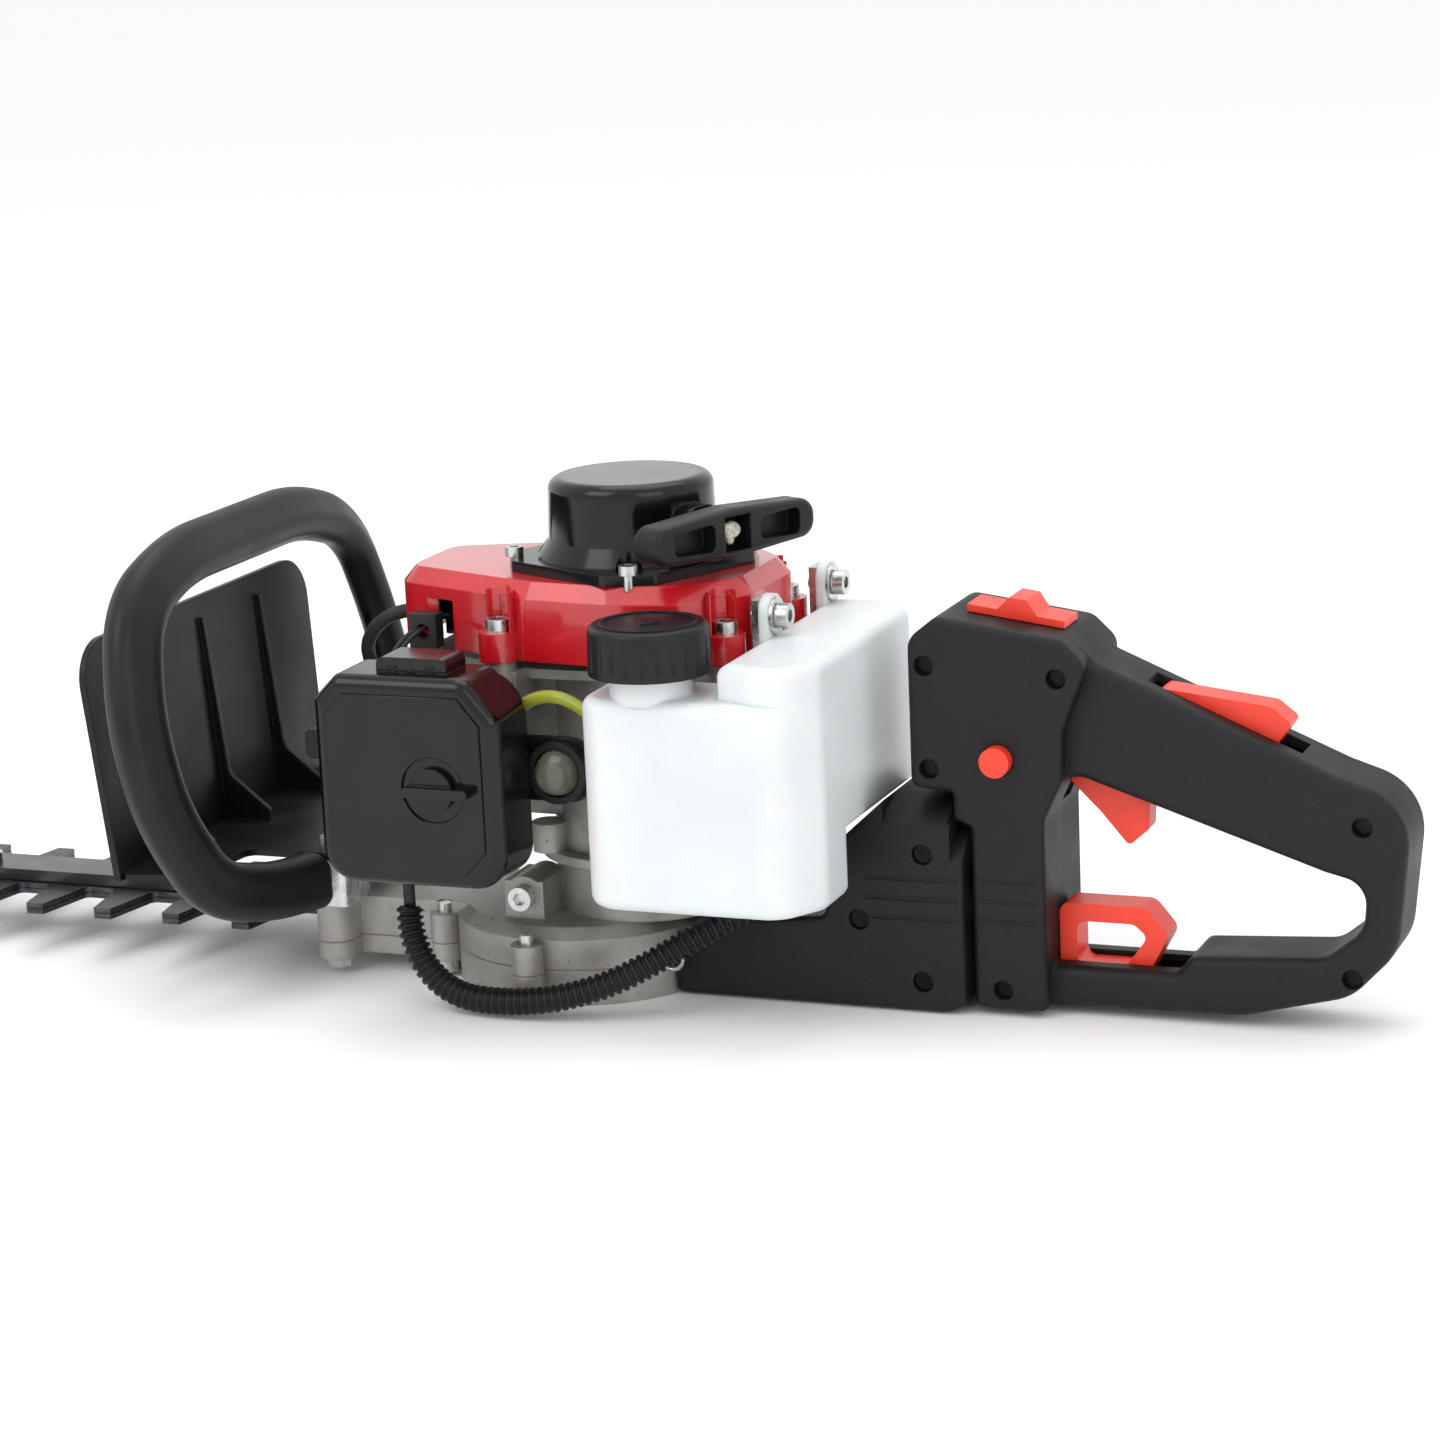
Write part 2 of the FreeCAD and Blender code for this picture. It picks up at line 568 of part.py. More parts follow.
def engine_shroud():
    low = D.shroud_low
    skirt = plate(shrunk(SHROUD_PLAN, 0, 11), low, 25)
    top = doc.addObject("PartDesign::Body", "Crown")
    loft = top.newObject("PartDesign::AdditiveLoft", "Slope")
    loft.Profile = sketch_on(top, "XY", shrunk(SHROUD_PLAN, 0, 11), low + 25)
    loft.Sections = [sketch_on(top, "XY", shrunk(SHROUD_PLAN, 5.5, 9), D.shroud_top)]
    loft.Ruled = True
    inner = plate(shrunk(SHROUD_PLAN, D.skin, 9), low - 1, D.shroud_top - D.skin - low - 3)
    raised = cyl(0, 0, D.shroud_top - 4, 45, 4)
    hollow = [inner, cyl(0, 0, low, 38, 60)]
    window = box(-86, -48, low - 1, 20, 20, 21)
    lead_hole = cyl(-100, -14, 152, 3.6, 20, "X")
    shell = cut(fuse(skirt, top, raised), *hollow, window, lead_hole)
    pads = cut(fuse(*[cyl(x, y, low, 8, 12) for x, y in SHROUD_BOLTS]),
               cyl(0, 0, low, 47.5, 40))
    full = cut(fuse(shell, pads), *[cyl(x, y, low, 2.55, 60) for x, y in SHROUD_BOLTS],
               *[cyl(x, y, low + 12, 6.2, 30) for x, y in SHROUD_BOLTS],
               swung(fuse(*[cyl(34 * u, 34 * v, 160, 2.05, 20) for u in (-1, 1) for v in (-1, 1)])))
    node("engine_shroud", full)
    SCREWS.extend(socket_screw(x, y, low + 12, 16, radius="small_screw") for x, y in SHROUD_BOLTS)


# --- recoil starter --------------------------------------------------------------------

ROPE_Z = 190
PULL = Rotation(Vector(0, 0, 1), -25)


def swung(thing):
    """Turn a piece made with the rope along +X to the direction the rope leaves in."""
    thing.Placement = Placement(Vector(0, 0, 0), PULL) * thing.Placement
    return thing


def starter():
    low = D.shroud_top
    edge = 42
    corner = 15
    base = plate([(edge, -edge + corner, 3), (edge, edge - corner, 3), (edge - corner, edge, 3),
                  (corner - edge, edge, 3), (-edge, edge - corner, 3), (-edge, corner - edge, 3),
                  (corner - edge, -edge, 3), (edge - corner, -edge, 3)], low, 4.5)
    drum = turned([(0, low), (39, low), (39, low + 5), (D.drum_radius, low + 12),
                   (D.drum_radius - 0.8, D.starter_top, 5), (0, D.starter_top)])
    spout = plate([(-9, 178, 2), (9, 178, 2), (9, 199, 7), (-9, 199, 7)], 20, 22, "YZ")
    hollow = turned([(0, low - 1), (31, low - 1), (31, D.starter_top - 4), (5, D.starter_top - 4),
                     (5, 176), (0, 176)])
    holes = [cyl(34 * u, 34 * v, low - 1, 2.1, 8) for u in (-1, 1) for v in (-1, 1)]
    eye = [cyl(25, 0, ROPE_Z, 3.4, 20, "X"), cyl(37.5, 0, ROPE_Z, 6.5, 5, "X")]
    flutes = [cyl(40 * math.cos(turn), 40 * math.sin(turn), low + 4.5, 5.5, 40)
              for turn in (math.radians(45 + 90 * k) for k in range(4))]
    body = cut(fuse(base, drum, spout), hollow, *holes, *eye, *flutes)
    node("starter_housing", swung(body))
    screws = [socket_screw(34 * u, 34 * v, low + 4.5, 9, radius="small_screw", head="small_head")
              for u in (-1, 1) for v in (-1, 1)]
    SCREWS.append(swung(fuse(*screws)))
    reel = turned([(5.05, 184), (28, 184, 0.4), (28, 185.6), (20, 186.6), (20, 193.4), (28, 194.4),
                   (28, 196), (5.05, 196)])
    pawls = [ring(0, 0, 175, 11, 5.05, 9), box(10, -3, 175, 6, 6, 2.5), box(-16, -3, 175, 6, 6, 2.5)]
    node("starter_reel", fuse(reel, *pawls))
    node("recoil_spring", ring(0, 0, 197.5, 27, 9, 5.5))
    shape = [(-43.5, 182.5, 7), (0, 180), (43.5, 182.5, 7), (43.5, 197.5, 7), (0, 200), (-43.5, 197.5, 7)]
    bar = rounded(plate(shape, 46.5, 15, "YZ"), 3.5, at_level("X", 46.5, 61.5))
    pockets = [plate([(y, 185.5, 3), (y + 22, 184.5, 3), (y + 22, 195.5, 3), (y, 194.5, 3)], 54, 8, "YZ")
               for y in (-34, 12)]
    middle = box(52, -7, 183, 12, 14, 14)
    grip = cut(bar, *pockets, middle, cyl(40, 0, ROPE_Z, 2.0, 14, "X"))
    node("pull_handle", swung(grip))
    knot = fuse(cyl(30, 0, ROPE_Z, 1.75, 25, "X"), cyl(52.3, 0, ROPE_Z, 4.4, 5, "X"))
    node("starter_rope", swung(knot))


# --- intake, exhaust and tank ----------------------------------------------------------

KNOB_X = -46


def intake():
    block = box(-72, -44, 87, 26, 9.7, 26)
    shield = box(-80, -44, 82, 42, 1.6, 31)
    GASKETS.append(cut(fuse(block, shield), cyl(-59, -46, D.bore_z, 8, 20, "Y")))
    body = fuse(box(-74, -64, 88, 30, 19.7, 24), cyl(-59, -66, D.bore_z, 12, 22, "Y"),
                box(-72, -62, 82, 26, 16, 6), cyl(-66, -55, 112, 4, 2), box(-70, -60, 78, 20, 12, 4))
    node("carburettor", cut(body, cyl(-59, -70, D.bore_z, 8, 30, "Y"), cyl(-66, -55, 100, 2.1, 20)))
    arm = plate([(-66, -59, 3.9), (-52, -58, 3), (-52, -52, 3), (-66, -51, 3.9)], 114.4, 1.6)
    node("carb_throttle_lever", fuse(arm, cyl(-66, -55, 101, 2, 16), cyl(-66, -55, 114.4, 4, 2.6),
                                     cyl(-55, -55, 116, 2.2, 3)))
    back = [(-93, 63, 12), (-93, 140, 14), (-30, 140, 14), (-22, 130, 8), (-22, 63, 12)]
    base = plate(back, -72, 6, "XZ")
    wing = plate([(-28, 88, 4), (-28, 114, 4), (5.5, 114, 10), (5.5, 88, 10)], -64, 2.5, "XZ")
    web = box(-30, -67, 92, 6, 5, 18)
    collar = ring(-7.5, -70.5, 101, 12.5, 9.6, 6.5, "Y")
    node("air_filter_base", cut(fuse(base, wing, web, collar, cyl(-80, -66.5, 118, 2, 5, "Y")), cyl(-59, -75, D.bore_z, 8, 12, "Y")))
    dome = turned([(0, 0), (9.2, 0), (9.2, 2), (8, 6, 2), (5.5, 10, 3), (0, 10.5)])
    dome.Placement = Placement(Vector(-7.5, -67.3, 101), Rotation(Vector(1, 0, 0), 90))
    node("primer_bulb", dome)
    foam = box(-86, -92, 72, 56, 19.4, 58)
    node("air_filter_foam", cut(foam, cyl(KNOB_X, -93, D.bore_z, 5, 22, "Y")))
    front = [(-97, 60, 14), (-97, 134), (-87, 144, 4), (-32, 144, 8), (-18, 128, 8), (-18, 60, 14)]
    inner = [(-94.6, 62.4, 12), (-94.6, 133), (-86, 141.6, 4), (-33, 141.6, 7), (-20.4, 127, 7),
             (-20.4, 62.4, 12)]
    outer = rounded(plate(front, -101, 28.7, "XZ"), 5, at_level("Y", -101))
    hump = plate([(-72, 138), (-72, 150, 3), (-42, 150, 3), (-42, 138)], -92, 18, "XZ")
    shell = cut(fuse(outer, hump), plate(inner, -98.6, 30, "XZ"), cyl(KNOB_X, -104, D.bore_z, 3, 12, "Y"))
    node("air_filter_cover", shell)
    wing = plate([(KNOB_X - 11, 98, 1.5), (KNOB_X + 17, 98, 1.5), (KNOB_X + 17, 102, 1.5),
                  (KNOB_X - 11, 102, 1.5)], -107.5, 6.2, "XZ")
    node("cover_knob", fuse(cyl(KNOB_X, -104, D.bore_z, 9, 2.7, "Y"), wing,
                            cyl(KNOB_X, -104, D.bore_z, 2.6, 9, "Y")))
    arm = plate([(-112, 106, 2), (-112, 112, 2), (-84, 122, 4), (-76, 122, 4), (-76, 114, 4)], -65.5, 1.6, "XZ")
    knob = plate([(-116, 102, 3), (-116, 114, 3), (-103, 114, 3), (-103, 102, 3)], -72, 14, "XZ")
    node("choke_lever", cut(fuse(arm, knob), cyl(-80, -70, 118, 2.1, 10, "Y")))


def exhaust():
    GASKETS.append(cut(box(-74, 34, 84, 30, 1, 32), cyl(-59, 33, D.bore_z, 8, 4, "Y")))
    shape = [(-92, 72, 10), (-92, 116, 10), (-34, 116, 10), (-34, 72, 10)]
    inner = [(-90, 74, 8), (-90, 114, 8), (-36, 114, 8), (-36, 74, 8)]
    can = rounded(plate(shape, 35, 43, "XZ"), 4, at_level("Y", 78))
    outlet = cyl(-98, 62, 84, 6, 12, "X")
    node("muffler", cut(fuse(can, outlet), plate(inner, 37, 38, "XZ"), cyl(-59, 33, D.bore_z, 8, 4, "Y"),
                        cyl(-99, 62, 84, 4.5, 14, "X")))
    guard = plate([(-97, 69, 10), (-97, 120, 10), (-29, 120, 10), (-29, 69, 10)], 82, 2.5, "XZ")
    slots = [box(-88, 80, 76 + 8 * count, 50, 6, 4) for count in range(5)]
    legs = [box(x, 78, 92, 6, 4, 6) for x in (-85, -47)]
    top = box(-90, 40, 117.5, 54, 44, 2.5)
    node("muffler_guard", cut(fuse(guard, *legs, top), *slots))


def tank_block(inset):
    """The tank's low front box and tall rear box, drawn in by the wall when inset is given."""
    step = inset
    low = plate([(9 + step, -48 - step, 8), (9 + step, -90 + step, 14), (92 - step, -90 + step, 16),
                 (104 - step, -70, 10), (104 - step, -48 - step)], 52 + step, 84 - 2 * step)
    tall = plate([(66 + step, -60, 0), (66 + step, -80 + step), (92 - step, -90 + step, 16),
                  (104 - step, -70, 10), (104 - step, 38, 12), (92, 48 - step, 10), (66 + step, 48 - step, 8)],
                 80 + step, 70 - 2 * step)
    return low, tall


CAP_X = 36
CAP_Y = -74


def tank():
    low, tall = tank_block(0)
    low = rounded(low, 5, at_level("Z", 52, 136))
    tall = rounded(tall, 5, at_level("Z", 150))
    shape = fuse(low, tall)
    neck = cyl(CAP_X, CAP_Y, 134, 16, 12)
    ears = [plate([(y - 8, 140), (y + 8, 140), (y + 7.5, 166.5, 6.5), (y - 7.5, 166.5, 6.5)], 66, 4, "YZ") for y in EAR_YS]
    full = fuse(shape, neck, *ears)
    inner_low, inner_tall = tank_block(D.tank_wall)
    holes = [cyl(60, y, EAR_Z, 3.05, 20, "X") for y in EAR_YS]
    bore = cyl(CAP_X, CAP_Y, 130, 13, 20)
    node("fuel_tank", cut(full, inner_low, inner_tall, bore, *holes))
    cap = turned([(0, 164), (D.cap_radius - 0.6, 164, 2.5), (D.cap_radius, 145), (16.6, 145), (16.6, 159),
                  (0, 159)], CAP_X, CAP_Y)
    ribs = [cyl(CAP_X + (D.cap_radius + 0.4) * math.cos(turn), CAP_Y + (D.cap_radius + 0.4) * math.sin(turn),
                148, 1.1, 12) for turn in (math.radians(15 * k) for k in range(24))]
    node("fuel_cap", cut(cap, *ribs))
    brackets = []
    for y in EAR_YS:
        brackets.append(box(62.6, y - 6, 136, 3.2, 12, 29))
        brackets.append(box(46, y - 6, 136, 18, 12, 3))
    posts = [cyl(x, y, 130, 6.8, 12) for x, y in SHROUD_BOLTS]
    BRACKETS.append(cut(fuse(*brackets), *posts, *[cyl(60, y, EAR_Z, 3.05, 20, "X") for y in EAR_YS]))
    bolts = []
    for y in EAR_YS:
        bolts.append(socket_screw(71.4, y, EAR_Z, 10.4, axis="X"))
        bolts.append(ring(70, y, EAR_Z, 7.5, 3, 1.2, "X"))
    SCREWS.extend(bolts)
    node("fuel_hose", hose(FUEL_LINE, 2.6, 1.4))


EAR_YS = (-27, 38)
EAR_Z = 158
FUEL_LINE = [(-41.6, -56.5, 106.9), (-34, -58, 114.7), (-25.8, -60, 125.7), (-13.6, -62.5, 130.6),
             (-0.6, -65, 129.1), (7.8, -66.5, 123.2)]


# --- front handle and hand shield ------------------------------------------------------

def front_handle():
    half = 108
    side = [(-128, -33, 42), (-141, -66, 42.3), (-152, -92, 50), (-163, -half, 84), (-172, -half, 124),
            (-178, -94, 165), (-180, -52, 178)]
    points = side + [(x, -y, z) for x, y, z in reversed(side)]
    wire = route(points)
    direction = Vector(*points[1]) - Vector(*points[0])
    wide, thin = D.loop_wide / 2, D.loop_thin / 2
    section = outline([(-wide, -thin, 7.5), (wide, -thin, 7.5), (wide, thin, 7.5), (-wide, thin, 7.5)])
    profile = Part.Wire([piece.toShape() for piece in section])
    across = direction.cross(Vector(0, 0, 1)).normalize()
    upward = across.cross(direction).normalize()
    turn = Rotation(upward, across * -1, direction.normalize(), "ZXY")
    profile.Placement = Placement(Vector(*points[0]), turn)
    tube = doc.addObject("Part::Feature", "Loop")
    tube.Shape = wire.makePipeShell([profile], True, False)
    seats = [box(x - 12.2, y - 11.2, 28, 24.4, 22.4, 30) for x, y in HANDLE_BOLTS]
    node("front_handle", cut(tube, *seats))
    brackets = []
    for x, y in HANDLE_BOLTS:
        corners = [(x - 12, y - 11, 4), (x + 12, y - 11, 4), (x + 12, y + 11, 4), (x - 12, y + 11, 4)]
        lug = plate(corners, D.deck, D.shield_low - D.deck)
        brackets.append(lug)
    BRACKETS.append(cut(fuse(*brackets), *[cyl(x, y, 30, 3.05, 40) for x, y in HANDLE_BOLTS]))
    bolts = []
    for x, y in HANDLE_BOLTS:
        bolts += [hexagon(x, y, 3, 5.5, 3.6), cyl(x, y, 6.5, "screw", 53),
                  hexagon(x, y, D.shield_low + 3, 5.5, 4.5)]
    SCREWS.extend(bolts)


def hand_shield():
    """An upright wall in front of the loop, on a plate bolted over the loop's brackets."""
    low = D.shield_low
    half = [(-116, -43, 4), (-161, -43, 5), (-166, -86, 6), (-194, -92, 3)]
    base = plate(half + [(x, -y, radius) for x, y, radius in reversed(half)], low, 3)
    upright = [plate([(-92, 0), (92, 0), (97, 99, 18), (-97, 99, 18)], 0, 3, "YZ")]
    upright += [plate([(2, 1), (24, 1), (24, 6), (7, 22, 6), (5, 90), (2, 90)], y - 1.25, 2.5, "XZ")
                for y in (-50, 0, 50)]
    lean = Placement(Vector(-197, 0, low), Rotation(Vector(0, 1, 0), -D.shield_lean))
    for piece in upright:
        piece.Placement = lean * piece.Placement
    node("hand_shield", cut(fuse(base, *upright), *[cyl(x, y, low - 1, 3.2, 6) for x, y in HANDLE_BOLTS]))


# --- rear handle -----------------------------------------------------------------------

HOLDER = [(22, 1, 2), (20, 19, 2), (38, 29, 4), (50, 34, 3), (86, 37, 4), (92, 61, 2), (96, 71, 3),
          (113, 86.5, 4), (138.2, 87, 2), (138.2, 78), (144.4, 74.5, 2), (144.4, 4, 3), (136, 1, 3)]
HOLDER_GAP = [(66, 5), (66, 30), (90, 34), (95, 60), (99, 69), (114, 82.5), (133, 83), (133, 76),
              (136.4, 70), (136.4, 5)]
HOLDER_SCREWS = [(128, 65), (101, 37), (127, 13)]
OUTER = [(123, 91, 4), (123, 150, 9), (135, 159.5, 6), (184, 152.5, 8), (196, 141.5, 8), (288, 102, 30),
         (318, 92, 24), (312, 34, 22), (294, 15, 22), (252, 4.5, 30), (147, 3, 3), (147, 76, 2), (140, 79, 2),
         (140, 90, 2)]
WINDOW = [(176, 20, 3), (176, 95, 4), (190, 96, 8), (284, 64, 14), (300, 60, 10), (299, 42, 14), (284, 30, 12),
          (232, 27, 4), (226, 20, 3)]
HEAD = [(123, 91, 4), (123, 150, 9), (135, 159.5, 6), (184, 152.5, 8), (195, 142, 8), (185, 116, 5), (184, 96, 6),
        (176.6, 80, 6), (176.6, 3, 3), (147, 3, 3), (147, 76, 2), (140, 79, 2), (140, 90, 2)]
HANDLE_SCREWS = [(130, 140), (183, 137), (131, 99), (159, 11), (299, 83), (295, 23)]


def mouth(points, side, half):
    return plate(points, 0 if side > 0 else -half, half, "XZ")


def handle_holder(side, name):
    half = D.holder_half
    skin = rounded(mouth(HOLDER, side, half), 2.5, at_level("Y", side * half))
    sweep = fuse(cyl(100, 0, D.swivel_z, 46.5, 39.4, "X"), cyl(130, 0, D.swivel_z, 36.5, 20, "X"),
                 box(0, -60, -5, 112, 120, 110), box(100, -60, -5, 50, 120, 45))
    body = common(skin, sweep)
    inner_sweep = fuse(cyl(100, 0, D.swivel_z, 43.3, 45, "X"), box(0, -60, -5, 109, 120, 110))
    tools = [common(mouth(HOLDER_GAP, side, half - D.wall), inner_sweep)]
    tools.append(cyl(D.case_x, 0, -1, "case_radius + 0.2", 60))
    tools.append(slab(20, 62.2, 20.2, -1, 26.2))
    tools.append(cyl(130, 0, D.swivel_z, 14.2, 20, "X"))
    tools.append(cyl(80, -20, 50.5, 5.7, 14, "X"))
    tools += [cyl(x, -40 if side < 0 else half - 4, z, 4.2, 15 if side < 0 else 8, "Y")
              for x, z in HOLDER_SCREWS]
    tools += [cyl(x, -40, z, 2.05, 80, "Y") for x, z in HOLDER_SCREWS]
    for level in (38, 46, 54):
        tools.append(box(104, side * half - 0.5, level, 38, 1, 1.6))
    posts = [cyl(x, 0 if side > 0 else -half + 3, z, 5.5, half - 3, "Y") for x, z in HOLDER_SCREWS]
    node(name, cut(fuse(cut(body, *tools[:1]), *posts), *tools[1:]))


def swivel_hub():
    tube = turned([(9, 0), (14, 0), (14, 19), (18.5, 19), (18.5, 23, 0.5), (9, 23)], 134, 0, D.swivel_z, "X")
    node("swivel_hub", tube)


def rear_handle(side, name):
    grip_half = D.grip_half
    ring_shape = mouth(OUTER, side, grip_half)
    soft_ring = rounded(cut(ring_shape, mouth(WINDOW, side, grip_half)), 4.5, at_level("Y", side * grip_half))
    head = rounded(mouth(HEAD, side, D.head_half), 3, at_level("Y", side * D.head_half))
    body = fuse(soft_ring, head)
    inside = grip_half - D.wall
    rooms = [mouth([(150, 6.5, 2), (150, 76), (143, 81), (143, 93), (126.5, 94.5, 3), (126.5, 148, 6),
                    (136, 156, 4), (183, 149, 5), (190.5, 141, 4), (181.5, 116, 3), (181, 96), (172.5, 80),
                    (172.5, 6.5, 2)], side, D.head_half - D.wall)]
    rooms.append(mouth([(178, 101, 2), (186, 142), (196, 137.5, 4), (284, 99.5, 20), (300, 93, 4), (300, 74, 4),
                        (284, 69, 8), (190, 100, 4)], side, inside))
    rooms.append(mouth([(170, 6.5), (170, 17), (226, 17), (240, 24, 3), (280, 25, 3), (272, 11, 4), (252, 8, 4),
                        (240, 7)], side, inside))
    posts = []
    for x, z in HANDLE_SCREWS:
        reach = (D.head_half if x < 190 else grip_half) - D.wall
        posts.append(cyl(x, 0 if side > 0 else -reach, z, 4.6, reach, "Y"))
    shell = fuse(cut(body, *rooms), *posts)
    tools = [cyl(140, 0, D.swivel_z, 14.4, 12, "X"), cyl(152.6, 0, D.swivel_z, 18.9, 5, "X")]
    tools.append(box(149, -7, 147, 32, 14, 16))
    tools.append(box(176, -5.4, 84, 44, 10.8, 20))
    tools.append(box(214, -7.4, 96, 60, 14.8, 40))
    tools.append(box(170, -8.4, 8.6, 58, 16.8, 14))
    tools.append(cyl(159, -40, 104, 6.3, 30, "Y"))
    tools.append(cyl(TRIGGER_PIVOT[0], -13, TRIGGER_PIVOT[1], 2.55, 26, "Y"))
    tools.append(cyl(LOCK_PIVOT[0], -14, LOCK_PIVOT[1], 2.05, 28, "Y"))
    tools += [cyl(x, -40, z, 2.05, 80, "Y") for x, z in HANDLE_SCREWS]
    for x, z in HANDLE_SCREWS:
        face = D.head_half if x < 190 else grip_half
        tools.append(cyl(x, -face - 1 if side < 0 else face - 6, z, 4, 7, "Y"))
    for level in (38, 46, 54):
        tools.append(box(149, side * D.head_half - 0.5, level, 24, 1, 1.6))
    node(name, cut(shell, *tools))


def handle_screws():
    screws = []
    for x, z in HANDLE_SCREWS:
        face = (D.head_half if x < 190 else D.grip_half) - 6
        screws.append(cyl(x, -face, z, "small_screw", face + 8, "Y"))
        screws.append(cyl(x, -face - 2.4, z, "small_head", 2.4, "Y"))
    HANDLE_STEEL.extend(screws)
    screws = []
    for x, z in HOLDER_SCREWS:
        face = D.holder_half - 4
        screws.append(cyl(x, -face, z, "small_screw", face + 10, "Y"))
        screws.append(cyl(x, -face - 2.4, z, "small_head", 2.4, "Y"))
    SCREWS.extend(screws)


TRIGGER_PIVOT = (187, 102)
LOCK_PIVOT = (222, 122)


def controls():
    shape = [(181, 104, 3), (182, 92, 3), (194, 80, 10), (205, 67, 2), (213, 74, 3), (214, 91, 4),
             (196, 100, 4), (190, 107, 3)]
    pivot = cyl(TRIGGER_PIVOT[0], -7, TRIGGER_PIVOT[1], 2.6, 14, "Y")
    node("throttle_trigger", cut(plate(shape, -5, 10, "XZ"), pivot))
    HANDLE_STEEL.append(cyl(TRIGGER_PIVOT[0], -13, TRIGGER_PIVOT[1], 2.5, 26, "Y"))
    lock = [(218, 119, 2), (218, 131, 2), (262, 125.5, 5), (270, 119, 2), (262, 108, 3), (256, 107, 2), (250, 113)]
    node("throttle_lockout", cut(plate(lock, -7, 14, "XZ"), cyl(LOCK_PIVOT[0], -8, LOCK_PIVOT[1], 2.1, 16, "Y")))
    HANDLE_STEEL.append(cyl(LOCK_PIVOT[0], -14, LOCK_PIVOT[1], 2, 28, "Y"))
    slider = plate([(x, 159.8 - (x - 135) / 7 + rise) for x, rise in
                    ((143, 0), (143, 2.9), (155, 2.9), (160, 8.4), (167, 8.4), (171, 2.9), (182, 2.9), (182, 0))],
                   -9, 18, "XZ")
    stem = box(158, -4, 150, 10, 8, 12)
    node("stop_switch", fuse(slider, stem))
    button = fuse(cyl(159, -31, 104, 6, 8, "Y"), cyl(159, -23, 104, 5, 10, "Y"), cyl(159, -22.6, 104, 7.5, 2, "Y"))
    node("latch_button", button)
    pull = [(177, 43, 4), (212, 43, 6), (221, 32, 4), (209, 9.6, 3), (179, 9.6, 2), (177, 18, 2)]
    gap = [(184, 36, 4), (207, 36, 5), (212.5, 31, 3), (203, 18, 4), (184, 18, 4)]
    lever = cut(plate(pull, -7.6, 15.2, "XZ"), plate(gap, -9, 18, "XZ"))
    node("release_lever", lever)


# --- cables ----------------------------------------------------------------------------

CONDUIT = [(-79, -62, 40), (-79, -64, 31), (-70, -69, 15.8), (-54.5, -73, 7.2), (-34, -75, 6.8),
           (-12, -74, 9), (10, -70, 15.5), (29, -64, 25.5), (46, -57, 36), (62, -46, 44), (77, -31, 49),
           (93, -20, 50.5)]


def cables():
    node("cable_conduit", hose(CONDUIT, D.conduit_radius, 3.6))
    upper = [(-55, -55, 124), (-62.4, -56, 124), (-73.6, -57.5, 117.6), (-80, -59, 106.4), (-80, -60, 88),
             (-79.7, -61, 64), (-79, -62, 40)]
    node("throttle_cable", hose(upper, 2.4))
    grommet = cut(box(-84, -37.5, 141, 12, 7, 14), cyl(-78, -50, 148, 3, 30, "Y"))
    node("rubber_bushes", fuse(grommet, swung(ring(37.5, 0, ROPE_Z, 6.4, 3.2, 8, "X"))))


def build_all():
    gear_case()
    gear_case_cover()
    case_gasket()
    drive_gear()
    clutch_drum()
    blade("lower_blade", D.lower_z, 14.1, "lower_con_rod", D.lower_z - 0.4)
    blade("upper_blade", D.upper_z, 22.8, "upper_con_rod", D.upper_z)
    guide_bar()
    case_bolts()
    clutch_housing()
    clutch_shoes()
    crankcase()
    crank_parts()
    cylinder()
    flywheel()
    ignition_coil()
    engine_shroud()
    starter()
    intake()
    exhaust()
    tank()
    front_handle()
    hand_shield()
    handle_holder(-1, "handle_holder_left")
    handle_holder(1, "handle_holder_right")
    swivel_hub()
    rear_handle(-1, "rear_handle_left")
    rear_handle(1, "rear_handle_right")
    handle_screws()
    controls()
    cables()
    node("machine_screws", fuse(*SCREWS))
    node("gaskets_and_insulator", fuse(*GASKETS))
    node("bearings_and_gear_pin", fuse(*BEARINGS))
    node("handle_screws_and_pins", fuse(*HANDLE_STEEL))
    node("mounting_brackets", fuse(*BRACKETS))


def report_failures():
    doc.recompute()
    bad = [(thing.Name, thing.Label, thing.State) for thing in doc.Objects
           if "Invalid" in thing.State or "Error" in thing.State]
    for thing in NODES:
        shape = thing.Shape
        if shape.isNull() or not shape.isValid():
            bad.append((thing.Name, thing.Label, "bad shape"))
        print(f"{thing.Label:22s} {len(shape.Solids)} solids {shape.Volume / 1000:9.1f} cm3 {len(shape.Faces)} faces")
    return bad


def export():
    os.makedirs("parts", exist_ok=True)
    for thing in NODES:
        thing.Shape.exportStep(f"parts/{thing.Label}.step")


build_all()
failures = report_failures()
if failures:
    raise SystemExit(f"failed: {failures}")
export()
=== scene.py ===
import math

import bpy
from mathutils import Matrix, Vector


